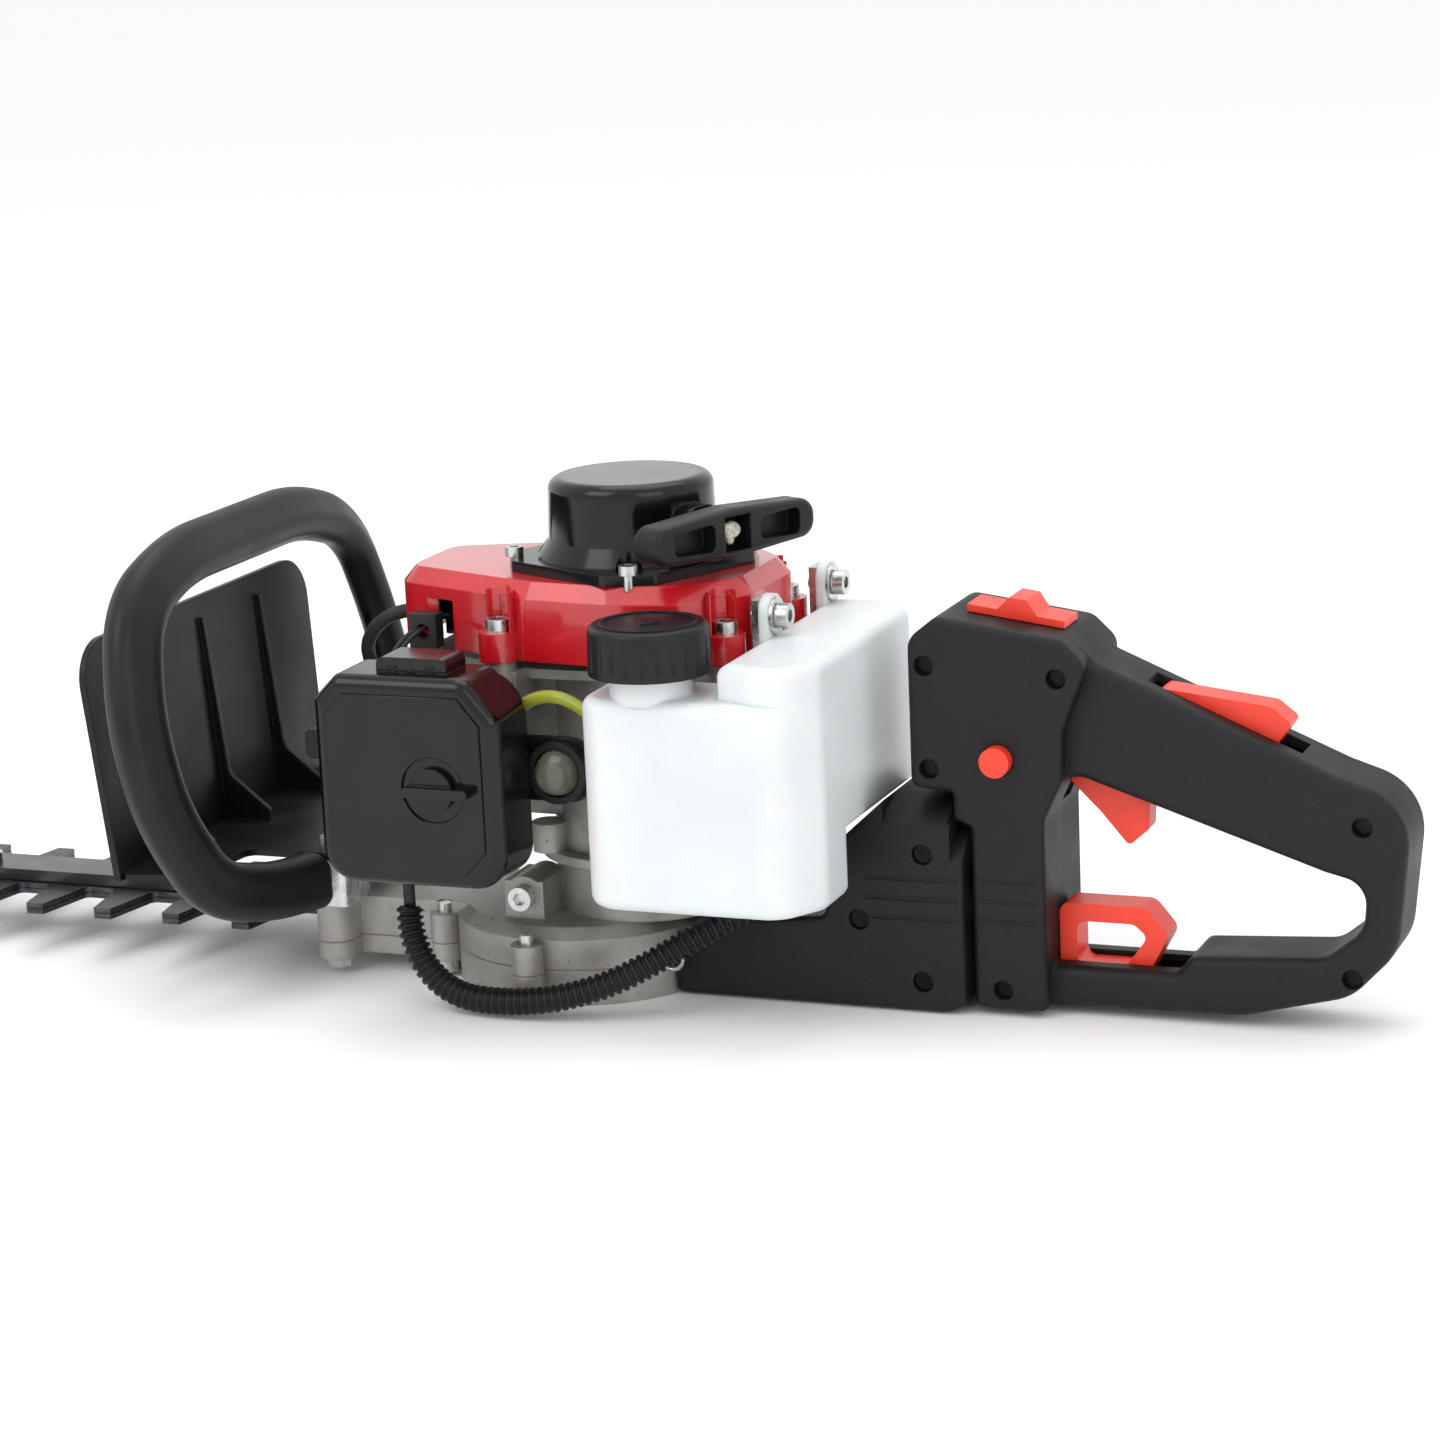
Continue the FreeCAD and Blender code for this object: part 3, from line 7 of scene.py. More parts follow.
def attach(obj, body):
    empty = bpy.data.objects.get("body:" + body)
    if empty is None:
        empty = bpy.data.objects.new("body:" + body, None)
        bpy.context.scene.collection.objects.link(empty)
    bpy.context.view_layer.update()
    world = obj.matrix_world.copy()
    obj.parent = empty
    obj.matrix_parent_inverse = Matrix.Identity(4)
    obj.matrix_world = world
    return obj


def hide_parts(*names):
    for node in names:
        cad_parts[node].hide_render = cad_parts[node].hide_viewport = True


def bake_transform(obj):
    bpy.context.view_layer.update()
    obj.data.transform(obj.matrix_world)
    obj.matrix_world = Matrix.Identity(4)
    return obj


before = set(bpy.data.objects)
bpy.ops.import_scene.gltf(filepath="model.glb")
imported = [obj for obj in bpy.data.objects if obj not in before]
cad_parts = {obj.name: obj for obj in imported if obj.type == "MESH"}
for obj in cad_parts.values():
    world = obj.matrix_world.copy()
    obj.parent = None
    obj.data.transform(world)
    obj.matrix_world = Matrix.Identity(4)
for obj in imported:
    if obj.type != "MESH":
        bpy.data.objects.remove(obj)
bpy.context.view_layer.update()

bl_info = {
    "name": "Petrol hedge trimmer looks",
    "version": (1, 0, 0),
    "blender": (4, 5, 0),
    "location": "View3D > Sidebar > Trimmer",
    "description": "Finishes, trim pieces and stage for a petrol hedge trimmer",
    "category": "Object",
}

MM = 0.001
PULL_TURN = Matrix.Rotation(math.radians(-25), 4, "Z")
CONDUIT = ((-79, -62, 40), (-79, -64, 31), (-70, -69, 15.8), (-54.5, -73, 7.2), (-34, -75, 6.8),
           (-12, -74, 9), (10, -70, 15.5), (29, -64, 25.5), (46, -57, 36), (62, -46, 44),
           (77, -31, 49), (93, -20, 50.5))
THROTTLE_CABLE = ((-55, -55, 124), (-62.4, -56, 124), (-73.6, -57.5, 117.6), (-80, -59, 106.4),
                  (-80, -60, 88), (-79.7, -61, 64), (-79, -62, 40))
FUEL_LINE = ((-41.6, -56.5, 106.9), (-34, -58, 114.7), (-25.8, -60, 125.7), (-13.6, -62.5, 130.6),
             (-0.6, -65, 129.1), (7.8, -66.5, 123.2))
PLUG_LEAD = ((-120, 0, 108), (-120, -2, 124), (-118, -10, 136), (-108, -14, 147), (-95, -14, 152),
             (-80, -10, 152))
PLUG_BOOT = ((-102, 0, 94), (-120, 0, 94), (-120, 0, 108))
ROPE_Z = 190
ROPE_TWIST = 6.25
STRAND_OFFSET = 0.85
STRAND_RADIUS = 0.95
KNOT_X = 56.5
KNOT_SIZE = 1.15
DISC_RADIUS = 27
DISC_LOW_Z = 207.4
BLACK_SCREWS_FROM_X = 90
SHROUD_SCREWS = ((-40, -47), (52, -35), (52, 35), (-40, 47))
SHROUD_CENTRE_X = -17
CAP_CENTRE = (36, -74)
CAP_TOP_Z = 164.2
COVER_FACE_Y = -101.2
HUMP_FACE_Y = -92.2
RING_CENTRE = (23, -34.5, 17)
FLOOR_HALF = 60
CAMERA_PLACE = (0.6006, -1.4021, 0.4708)
CAMERA_ANGLES = (22, 13.5, -2.5)


# --- small helpers ---------------------------------------------------------------------

def linear(colour):
    """An sRGB hex colour as linear RGBA."""
    parts = [int(colour[index:index + 2], 16) / 255 for index in (1, 3, 5)]
    return [part / 12.92 if part <= 0.04045 else ((part + 0.055) / 1.055) ** 2.4 for part in parts] + [1.0]


def add(tree, kind, settings=None, values=None, **links):
    """Add a node, set its properties and socket values, and link inputs by name, or by number as i0."""
    node = tree.nodes.new(kind)
    for key, value in (settings or {}).items():
        setattr(node, key, value)
    for key, value in (values or {}).items():
        node.inputs[key].default_value = value
    for key, (source, output) in links.items():
        numbered = key[0] == "i" and key[1:].isdigit()
        slot = int(key[1:]) if numbered else key.replace("_", " ")
        tree.links.new(source.outputs[output], node.inputs[slot])
    return node


def moulded(name, main, other, patch, grain, depth, rough, edge=0.4, fleck=None, stretch=(1, 1, 1), **shader):
    """A material: two tones in patches, a grain in relief, uneven gloss and softened edges, sizes in mm."""
    material = bpy.data.materials.new(name)
    material.use_nodes = True
    tree = material.node_tree
    tree.nodes.clear()
    where = add(tree, "ShaderNodeTexCoord")
    along = add(tree, "ShaderNodeMapping", values={"Scale": stretch}, Vector=(where, "Object"))
    patches = add(tree, "ShaderNodeTexNoise", values={"Scale": 1 / (patch * MM), "Detail": 4.0},
                  Vector=(along, "Vector"))
    tones = add(tree, "ShaderNodeValToRGB", Fac=(patches, "Fac"))
    tones.color_ramp.elements[0].position = 0.35
    tones.color_ramp.elements[0].color = linear(other)
    tones.color_ramp.elements[1].position = 0.62
    tones.color_ramp.elements[1].color = linear(main)
    colour = (tones, "Color")
    if fleck:
        tint, size, share = fleck
        spots = add(tree, "ShaderNodeTexNoise", values={"Scale": 1 / (size * MM), "Detail": 2.0},
                    Vector=(along, "Vector"))
        picked = add(tree, "ShaderNodeMapRange", values={"From Min": 1 - share, "From Max": 1.04 - share},
                     Value=(spots, "Fac"))
        mixed = add(tree, "ShaderNodeMix", {"data_type": "RGBA"}, {7: linear(tint)},
                    i0=(picked, "Result"), i6=colour)
        colour = (mixed, 2)
    gloss = add(tree, "ShaderNodeMapRange",
                values={"From Min": 0.3, "From Max": 0.7, "To Min": rough[0], "To Max": rough[1]},
                Value=(patches, "Fac"))
    relief = add(tree, "ShaderNodeTexNoise", values={"Scale": 1 / (grain * MM), "Detail": 3.0},
                 Vector=(along, "Vector"))
    soft = add(tree, "ShaderNodeBevel", {"samples": 4}, {"Radius": edge * MM})
    bump = add(tree, "ShaderNodeBump", values={"Strength": 0.6, "Distance": depth * MM},
               Height=(relief, "Fac"), Normal=(soft, "Normal"))
    surface = add(tree, "ShaderNodeBsdfPrincipled", values=shader, Base_Color=colour,
                  Roughness=(gloss, "Result"), Normal=(bump, "Normal"))
    add(tree, "ShaderNodeOutputMaterial", Surface=(surface, "BSDF"))
    return material


def place(name, mesh, material, body):
    """Link a finished mesh as a piece that rides on a body."""
    mesh.materials.clear()
    mesh.materials.append(material)
    piece = bpy.data.objects.new(name, mesh)
    bpy.context.scene.collection.objects.link(piece)
    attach(piece, body)
    return piece


def smooth_path(route, steps=16):
    """A path object whose smooth line has the given control points, in mm."""
    curve = bpy.data.curves.new("path", "CURVE")
    curve.dimensions = "3D"
    curve.resolution_u = steps
    spline = curve.splines.new("NURBS")
    spline.points.add(len(route) - 1)
    for point, spot in zip(spline.points, route):
        point.co = (*[part * MM for part in spot], 1)
    spline.order_u = 3
    spline.use_endpoint_u = True
    path = bpy.data.objects.new("path", curve)
    bpy.context.scene.collection.objects.link(path)
    return path


def path_points(route, steps=16):
    """The points along a smooth route, in mm."""
    path = smooth_path(route, steps)
    graph = bpy.context.evaluated_depsgraph_get()
    line = bpy.data.meshes.new_from_object(path.evaluated_get(graph))
    points = [vertex.co / MM for vertex in line.vertices]
    bpy.data.objects.remove(path)
    return points


def round_wire(points, radius, sides=14, closed=False):
    """A tube mesh along points given in mm, closed at its ends or joined into a loop."""
    spots = [Vector(point) * MM for point in points]
    count = len(spots)
    verts = []
    up = None
    for index, spot in enumerate(spots):
        ahead = spots[(index + 1) % count] if closed else spots[min(index + 1, count - 1)]
        behind = spots[index - 1] if closed else spots[max(index - 1, 0)]
        run = (ahead - behind).normalized()
        if up is None:
            up = run.orthogonal().normalized()
        up = (up - run * up.dot(run)).normalized()
        side = run.cross(up)
        for corner in range(sides):
            turn = 2 * math.pi * corner / sides
            verts.append(spot + (up * math.cos(turn) + side * math.sin(turn)) * radius * MM)
    faces = []
    for index in range(count if closed else count - 1):
        after = (index + 1) % count
        for corner in range(sides):
            beside = (corner + 1) % sides
            faces.append((index * sides + corner, index * sides + beside,
                          after * sides + beside, after * sides + corner))
    if not closed:
        faces.append(tuple(reversed(range(sides))))
        faces.append(tuple(range((count - 1) * sides, count * sides)))
    mesh = bpy.data.meshes.new("wire")
    mesh.from_pydata(verts, [], faces)
    mesh.shade_smooth()
    mesh.validate()
    return mesh


def flat_piece(outlines, thick, edge, matrix):
    """A thin raised panel from flat outlines in mm, later ones being holes, moved by a matrix."""
    curve = bpy.data.curves.new("flat", "CURVE")
    curve.dimensions = "2D"
    curve.fill_mode = "BOTH"
    curve.extrude = (thick / 2 - edge) * MM
    curve.bevel_depth = edge * MM
    curve.bevel_resolution = 2
    curve.offset = -edge * MM
    for points in outlines:
        spline = curve.splines.new("POLY")
        spline.points.add(len(points) - 1)
        spline.use_cyclic_u = True
        for point, (u, v) in zip(spline.points, points):
            point.co = (u * MM, v * MM, 0, 1)
    carrier = bpy.data.objects.new("flat", curve)
    bpy.context.scene.collection.objects.link(carrier)
    graph = bpy.context.evaluated_depsgraph_get()
    mesh = bpy.data.meshes.new_from_object(carrier.evaluated_get(graph))
    bpy.data.objects.remove(carrier)
    mesh.transform(matrix)
    return mesh


def circle(u, v, radius, count=48):
    """The corners of a round outline."""
    turns = [2 * math.pi * step / count for step in range(count)]
    return [(u + radius * math.cos(turn), v + radius * math.sin(turn)) for turn in turns]


# --- what a user may change ------------------------------------------------------------

class TrimmerColours(bpy.types.PropertyGroup):
    """The main colours, each an sRGB hex value."""
    red_paint: bpy.props.StringProperty(name="Red paint", description="Engine shroud", default="#C8141E")
    orange_plastic: bpy.props.StringProperty(name="Orange plastic", description="Controls", default="#EE3F28")
    grip_plastic: bpy.props.StringProperty(name="Grip plastic", description="Rear handle", default="#17181A")
    tank_plastic: bpy.props.StringProperty(name="Tank plastic", description="Fuel tank", default="#E3E4E6")
    floor_paper: bpy.props.StringProperty(name="Floor", description="Studio floor", default="#FAFAFA")


class TrimmerSizes(bpy.types.PropertyGroup):
    rib_pitch: bpy.props.FloatProperty(name="Rib pitch", description="Distance between conduit ribs",
                                       default=3.2 * MM, unit="LENGTH")
    rib_depth: bpy.props.FloatProperty(name="Rib depth", description="Groove depth as a share of the radius",
                                       default=0.24, subtype="FACTOR")
    conduit_radius: bpy.props.FloatProperty(name="Conduit radius", description="Over the ribs",
                                            default=5.5 * MM, unit="LENGTH")


# --- finishes --------------------------------------------------------------------------

def polished_black(name):
    """Polished-mould ABS: near-black with clear window highlights and slight sink marks."""
    return moulded(name, "#0D0E10", "#090A0B", 24, 7.0, 0.06, (0.12, 0.2), edge=0.9,
                   **{"Coat Weight": 0.12, "Coat Roughness": 0.05, "Specular IOR Level": 0.3})


def zinc_plate(name):
    """Bright zinc plate: a sharp cool mirror with faint blue-yellow patches."""
    return moulded(name, "#D3D6D9", "#BFC0B8", 3, 0.6, 0.02, (0.2, 0.34), edge=0.25, Metallic=1.0)


def make_finishes(colours):
    """Every finish by its short name."""
    return {
        # Sand-cast aluminium: a dull grey-brown skin with pits that break up its sheen.
        "cast_aluminium": moulded("Sand-cast aluminium", "#B8B6B2", "#9E9B96", 18, 1.1, 0.18, (0.46, 0.62),
                                  edge=0.8, fleck=("#7D7974", 1.8, 0.3), Metallic=0.7),
        # Die-cast carburettor zinc: smoother and cooler than the sand castings.
        "die_cast": moulded("Die-cast zinc alloy", "#A9A9A6", "#8D8D8A", 9, 0.8, 0.06, (0.34, 0.48),
                            Metallic=0.9),
        "zinc": zinc_plate("Bright zinc plate"),
        # Ground steel: a bright surface with fine lines left by the wheel.
        "steel": moulded("Ground steel", "#A3A5A8", "#84868A", 6, 0.5, 0.02, (0.25, 0.4), stretch=(1, 8, 8),
                         edge=0.25, Metallic=1.0),
        # Hardened blade steel: dark oxide with bright worn streaks along the stroke.
        "blade_steel": moulded("Hardened blade steel", "#55575A", "#3B3C3F", 8, 0.7, 0.03, (0.3, 0.48),
                               fleck=("#8E9093", 1.5, 0.34), stretch=(1, 6, 6), edge=0.3, Metallic=0.95),
        # Black enamel over steel: a thin coat that keeps a soft highlight.
        "black_steel": moulded("Black enamelled steel", "#17181A", "#101113", 16, 0.9, 0.03, (0.26, 0.4),
                               Metallic=0.0, **{"Coat Weight": 0.3}),
        # Black-oxide steel: a dark oiled skin with a dim blue sheen.
        "black_oxide": moulded("Black-oxide steel", "#232427", "#17181A", 3, 0.6, 0.03, (0.35, 0.5), edge=0.2,
                               Metallic=0.9),
        # Sprayed gloss enamel on moulded plastic: a clear top coat over deep red, slightly wavy.
        "red_paint": moulded("Gloss red enamel", colours.red_paint, "#B9101A", 30, 5.0, 0.05, (0.24, 0.32),
                             edge=0.9, **{"Coat Weight": 0.8, "Coat Roughness": 0.06}),
        "gloss_black": polished_black("Polished black ABS"),
        # Fine-spark mould texture on polypropylene: broad soft highlights.
        "satin_black": moulded("Satin black polypropylene", "#161719", "#101113", 20, 0.7, 0.05, (0.34, 0.46),
                               edge=0.9, **{"Specular IOR Level": 0.3}),
        # Coarse-spark nylon: a matt charcoal skin with a leathery grain, duller in patches from handling.
        "grip_black": moulded("Textured black nylon", colours.grip_plastic, "#121315", 26, 0.9, 0.11,
                              (0.46, 0.6), edge=0.9, fleck=("#222326", 1.3, 0.34),
                              **{"Specular IOR Level": 0.3}),
        # Self-coloured polypropylene: saturated, a little waxy, with soft gloss.
        "orange": moulded("Orange-red polypropylene", colours.orange_plastic, "#E23821", 15, 1.2, 0.04,
                          (0.32, 0.42), edge=0.4, **{"Subsurface Weight": 0.15, "Subsurface Scale": 0.002}),
        # Blow-moulded polyethylene: milky, lit from within, with an uneven waxy skin.
        "tank_milk": moulded("Blow-moulded polyethylene", colours.tank_plastic, "#DADBDD", 60, 2.2, 0.08,
                             (0.3, 0.4), edge=2.2,
                             **{"Subsurface Weight": 0.55, "Subsurface Scale": 0.006}),
        # Nitrile rubber: dull, faintly dusty.
        "rubber": moulded("Black nitrile rubber", "#161617", "#1F1F20", 7, 0.6, 0.05, (0.5, 0.68)),
        # Extruded fuel hose: tinted and see-through, gold where it is thick.
        "hose": moulded("Tinted fuel hose", "#CBD24A", "#B4BF3A", 12, 3.0, 0.02, (0.14, 0.22),
                        **{"Transmission Weight": 0.45, "IOR": 1.5}),
        # Smoked vinyl: a soft translucent bulb.
        "smoke": moulded("Smoked vinyl", "#8D8B7C", "#7C7A6D", 6, 2.0, 0.02, (0.16, 0.26),
                         **{"Transmission Weight": 0.55, "IOR": 1.48}),
        # Open-cell foam: pores drawn at two millimetres so that they show.
        "foam": moulded("Open-cell foam", "#3C3A36", "#22211F", 2, 2.0, 0.6, (0.8, 0.95)),
        # Pressed fibre sheet: flat tan with short fibres.
        "gasket": moulded("Pressed fibre gasket", "#8C7B5E", "#74654B", 3, 0.7, 0.06, (0.75, 0.9)),
        # Glazed alumina: white and glassy.
        "ceramic": moulded("Glazed alumina", "#EDEBE6", "#E2E0DA", 10, 2.0, 0.01, (0.1, 0.16), IOR=1.6),
        # Braided nylon cord: off-white, with darker patches at strand size as painted shade for the valleys
        # between the strands.
        "rope": moulded("Braided nylon cord", "#D9D5C8", "#A8A392", 0.9, 0.6, 0.2, (0.7, 0.85), edge=0.1),
    }


FINISH_OF = {
    "cast_aluminium": ("gear_case", "gear_case_cover", "clutch_housing", "crankcase_lower", "crankcase_upper",
                       "cylinder", "flywheel", "piston"),
    "die_cast": ("carburettor",),
    "zinc": ("mounting_brackets", "carb_throttle_lever"),
    "steel": ("drive_gear", "clutch_drum", "lower_con_rod", "upper_con_rod", "clutch_shoes", "crankshaft",
              "connecting_rod", "swivel_hub", "recoil_spring", "bearings_and_gear_pin"),
    "black_oxide": ("handle_screws_and_pins",),
    "blade_steel": ("lower_blade", "upper_blade"),
    "black_steel": ("guide_bar", "muffler", "muffler_guard"),
    "red_paint": ("engine_shroud",),
    "gloss_black": ("air_filter_cover", "cover_knob", "ignition_coil"),
    "satin_black": ("front_handle", "hand_shield", "air_filter_base", "fuel_cap", "pull_handle",
                    "choke_lever", "starter_reel", "cable_conduit"),
    "grip_black": ("handle_holder_left", "handle_holder_right", "rear_handle_left", "rear_handle_right"),
    "orange": ("throttle_trigger", "throttle_lockout", "stop_switch", "latch_button", "release_lever"),
    "tank_milk": ("fuel_tank",),
    "rubber": ("rubber_bushes", "ignition_lead", "throttle_cable"),
    "hose": ("fuel_hose",),
    "smoke": ("primer_bulb",),
    "foam": ("air_filter_foam",),
    "gasket": ("gaskets_and_insulator",),
    "ceramic": ("spark_plug",),
    "rope": ("starter_rope",),
}


def tinted(material, tint, mask):
    """Give a material another colour where a mask in its own tree is one."""
    tree = material.node_tree
    surface = next(node for node in tree.nodes if node.type == "BSDF_PRINCIPLED")
    base = surface.inputs["Base Color"].links[0].from_socket
    mixed = add(tree, "ShaderNodeMix", {"data_type": "RGBA"}, {7: linear(tint)}, i0=mask)
    tree.links.new(base, mixed.inputs[6])
    tree.links.new(mixed.outputs[2], surface.inputs["Base Color"])
    return material


def labelled_starter():
    """The starter's polished black, with a plain dark disc printed on its crown."""
    material = polished_black("Polished black ABS with disc")
    tree = material.node_tree
    where = add(tree, "ShaderNodeTexCoord")
    flat = add(tree, "ShaderNodeVectorMath", {"operation": "MULTIPLY"}, {1: (1, 1, 0)}, i0=(where, "Object"))
    reach = add(tree, "ShaderNodeVectorMath", {"operation": "LENGTH"}, i0=(flat, "Vector"))
    within = add(tree, "ShaderNodeMath", {"operation": "LESS_THAN"}, {1: DISC_RADIUS * MM},
                 i0=(reach, "Value"))
    split = add(tree, "ShaderNodeSeparateXYZ", Vector=(where, "Object"))
    above = add(tree, "ShaderNodeMath", {"operation": "GREATER_THAN"}, {1: DISC_LOW_Z * MM}, i0=(split, "Z"))
    both = add(tree, "ShaderNodeMath", {"operation": "MULTIPLY"}, i0=(within, "Value"), i1=(above, "Value"))
    return tinted(material, "#3A3B3D", (both, "Value"))


def two_plated_screws():
    """Bright zinc machine screws, but black oxide on the ones sunk in the handle holder."""
    material = zinc_plate("Zinc and black-oxide screws")
    tree = material.node_tree
    where = add(tree, "ShaderNodeTexCoord")
    split = add(tree, "ShaderNodeSeparateXYZ", Vector=(where, "Object"))
    behind = add(tree, "ShaderNodeMath", {"operation": "GREATER_THAN"}, {1: BLACK_SCREWS_FROM_X * MM},
                 i0=(split, "X"))
    return tinted(material, "#1D1E20", (behind, "Value"))


FINISHES = {}


# --- pieces ----------------------------------------------------------------------------

class TRIMMER_OT_finishes(bpy.types.Operator):
    """Give every carried-over node its finish"""
    bl_idname = "trimmer.finishes"
    bl_label = "Finishes"

    def execute(self, context):
        FINISHES.update(make_finishes(context.scene.trimmer_colours))
        FINISHES["starter"] = labelled_starter()
        FINISHES["screws"] = two_plated_screws()
        chosen = {node: finish for finish, nodes in FINISH_OF.items() for node in nodes}
        chosen["starter_housing"] = "starter"
        chosen["machine_screws"] = "screws"
        for name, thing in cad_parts.items():
            if name not in chosen:
                raise RuntimeError(f"{name} has no finish")
            if not thing.material_slots:
                thing.data.materials.append(None)
            for slot in thing.material_slots:
                slot.material = FINISHES[chosen[name]]
        return {"FINISHED"}


def ribbed_tree():
    """Nodes that sweep a ribbed tube along a path."""
    tree = bpy.data.node_groups.new("Ribbed conduit", "GeometryNodeTree")
    for name, kind in (("Geometry", "NodeSocketGeometry"), ("Path", "NodeSocketObject"),
                       ("Pitch", "NodeSocketFloat"), ("Depth", "NodeSocketFloat"),
                       ("Radius", "NodeSocketFloat"), ("Finish", "NodeSocketMaterial")):
        tree.interface.new_socket(name, in_out="INPUT", socket_type=kind)
    tree.interface.new_socket("Geometry", in_out="OUTPUT", socket_type="NodeSocketGeometry")
    given = add(tree, "NodeGroupInput")
    path = add(tree, "GeometryNodeObjectInfo", Object=(given, "Path"))
    step = add(tree, "ShaderNodeMath", {"operation": "DIVIDE"}, {1: 8.0}, i0=(given, "Pitch"))
    even = add(tree, "GeometryNodeResampleCurve", {"mode": "LENGTH"}, Curve=(path, "Geometry"),
               Length=(step, "Value"))
    place_on = add(tree, "GeometryNodeSplineParameter")
    turns = add(tree, "ShaderNodeMath", {"operation": "DIVIDE"}, i0=(place_on, "Length"), i1=(given, "Pitch"))
    angle = add(tree, "ShaderNodeMath", {"operation": "MULTIPLY"}, {1: 2 * math.pi}, i0=(turns, "Value"))
    wave = add(tree, "ShaderNodeMath", {"operation": "COSINE"}, i0=(angle, "Value"))
    steep = add(tree, "ShaderNodeMapRange", {"interpolation_type": "SMOOTHSTEP"},
                {"From Min": -0.5, "From Max": 0.5}, Value=(wave, "Value"))
    groove = add(tree, "ShaderNodeMath", {"operation": "MULTIPLY"}, i0=(steep, "Result"), i1=(given, "Depth"))
    share = add(tree, "ShaderNodeMath", {"operation": "SUBTRACT"}, {0: 1.0}, i1=(groove, "Value"))
    hoop = add(tree, "GeometryNodeCurvePrimitiveCircle", values={"Resolution": 20}, Radius=(given, "Radius"))
    swept = add(tree, "GeometryNodeCurveToMesh", values={"Fill Caps": True}, Curve=(even, "Curve"),
                Profile_Curve=(hoop, "Curve"), Scale=(share, "Value"))
    smooth = add(tree, "GeometryNodeSetShadeSmooth", Geometry=(swept, "Mesh"))
    real = add(tree, "GeometryNodeRealizeInstances", Geometry=(smooth, "Geometry"))
    done = add(tree, "GeometryNodeSetMaterial", Geometry=(real, "Geometry"), Material=(given, "Finish"))
    add(tree, "NodeGroupOutput", Geometry=(done, "Geometry"))
    return tree


def grown(tree, settings):
    """The plain mesh that a node tree makes from its named inputs."""
    carrier = bpy.data.objects.new("grown", bpy.data.meshes.new("grown"))
    bpy.context.scene.collection.objects.link(carrier)
    modifier = carrier.modifiers.new("Nodes", "NODES")
    modifier.node_group = tree
    for item in tree.interface.items_tree:
        if item.in_out == "INPUT" and item.name in settings:
            modifier[item.identifier] = settings[item.name]
    graph = bpy.context.evaluated_depsgraph_get()
    mesh = bpy.data.meshes.new_from_object(carrier.evaluated_get(graph))
    bpy.data.objects.remove(carrier)
    if not mesh.polygons:
        raise RuntimeError(f"{tree.name} made nothing")
    return mesh


class TRIMMER_OT_conduit(bpy.types.Operator):
    """Make the corrugated conduit that carries the throttle cable"""
    bl_idname = "trimmer.conduit"
    bl_label = "Conduit"

    def execute(self, context):
        sizes = context.scene.trimmer_sizes
        path = smooth_path(CONDUIT, 24)
        mesh = grown(ribbed_tree(), {"Path": path, "Pitch": sizes.rib_pitch, "Depth": sizes.rib_depth,
                                     "Radius": sizes.conduit_radius, "Finish": FINISHES["satin_black"]})
        bpy.data.objects.remove(path)
        piece = place("ribbed_conduit", mesh, FINISHES["satin_black"], "engine")
        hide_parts("cable_conduit")
        return {"FINISHED"}


class TRIMMER_OT_cords(bpy.types.Operator):
    """Run the throttle cable, the fuel hose and the plug lead with its boot"""
    bl_idname = "trimmer.cords"
    bl_label = "Cords"

    def execute(self, context):
        for name, route, radius, finish, node in (
                ("throttle_cable_sheath", THROTTLE_CABLE, 2.4, "rubber", "throttle_cable"),
                ("fuel_hose_tube", FUEL_LINE, 2.6, "hose", "fuel_hose"),
                ("plug_lead", PLUG_LEAD, 2.9, "rubber", "ignition_lead")):
            piece = place(name, round_wire(path_points(route), radius, sides=20), FINISHES[finish], "engine")
            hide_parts(node)
        boot = round_wire(path_points(PLUG_BOOT, 24), 8.4, sides=36)
        place("plug_boot", boot, FINISHES["rubber"], "engine")
        return {"FINISHED"}


class TRIMMER_OT_rope(bpy.types.Operator):
    """Make the starter rope and the knot in the pull handle's pocket"""
    bl_idname = "trimmer.rope"
    bl_label = "Starter rope"

    def execute(self, context):
        line = path_points(((30, 0, ROPE_Z), (42, 0, ROPE_Z), (55, 0, ROPE_Z)), 56)
        strands = []
        for phase in range(3):
            points = []
            for spot in line:
                turn = 2 * math.pi * ((spot.x - 30) / ROPE_TWIST + phase / 3)
                points.append(spot + STRAND_OFFSET * Vector((0, math.cos(turn), math.sin(turn))))
            strands.append(round_wire(points, STRAND_RADIUS, sides=8))
        verts = [vert.co.copy() for mesh in strands for vert in mesh.vertices]
        faces = []
        start = 0
        for mesh in strands:
            faces += [[start + corner for corner in face.vertices] for face in mesh.polygons]
            start += len(mesh.vertices)
        joined = bpy.data.meshes.new("rope")
        joined.from_pydata(verts, [], faces)
        joined.shade_smooth()
        joined.transform(PULL_TURN)
        joined.materials.append(FINISHES["rope"])
        rope = bpy.data.objects.new("starter_rope_strands", joined)
        context.scene.collection.objects.link(rope)
        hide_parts("starter_rope")
        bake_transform(rope)
        loop = []
        for step in range(72):
            turn = 2 * math.pi * step / 72
            loop.append((KNOT_X + math.sin(3 * turn), (math.sin(turn) + 2 * math.sin(2 * turn)) * KNOT_SIZE,
                         ROPE_Z + (math.cos(turn) - 2 * math.cos(2 * turn)) * KNOT_SIZE))
        knot = round_wire(loop, 1.6, sides=12, closed=True)
        knot.transform(PULL_TURN)
        place("rope_knot", knot, FINISHES["rope"], "pull")
        return {"FINISHED"}


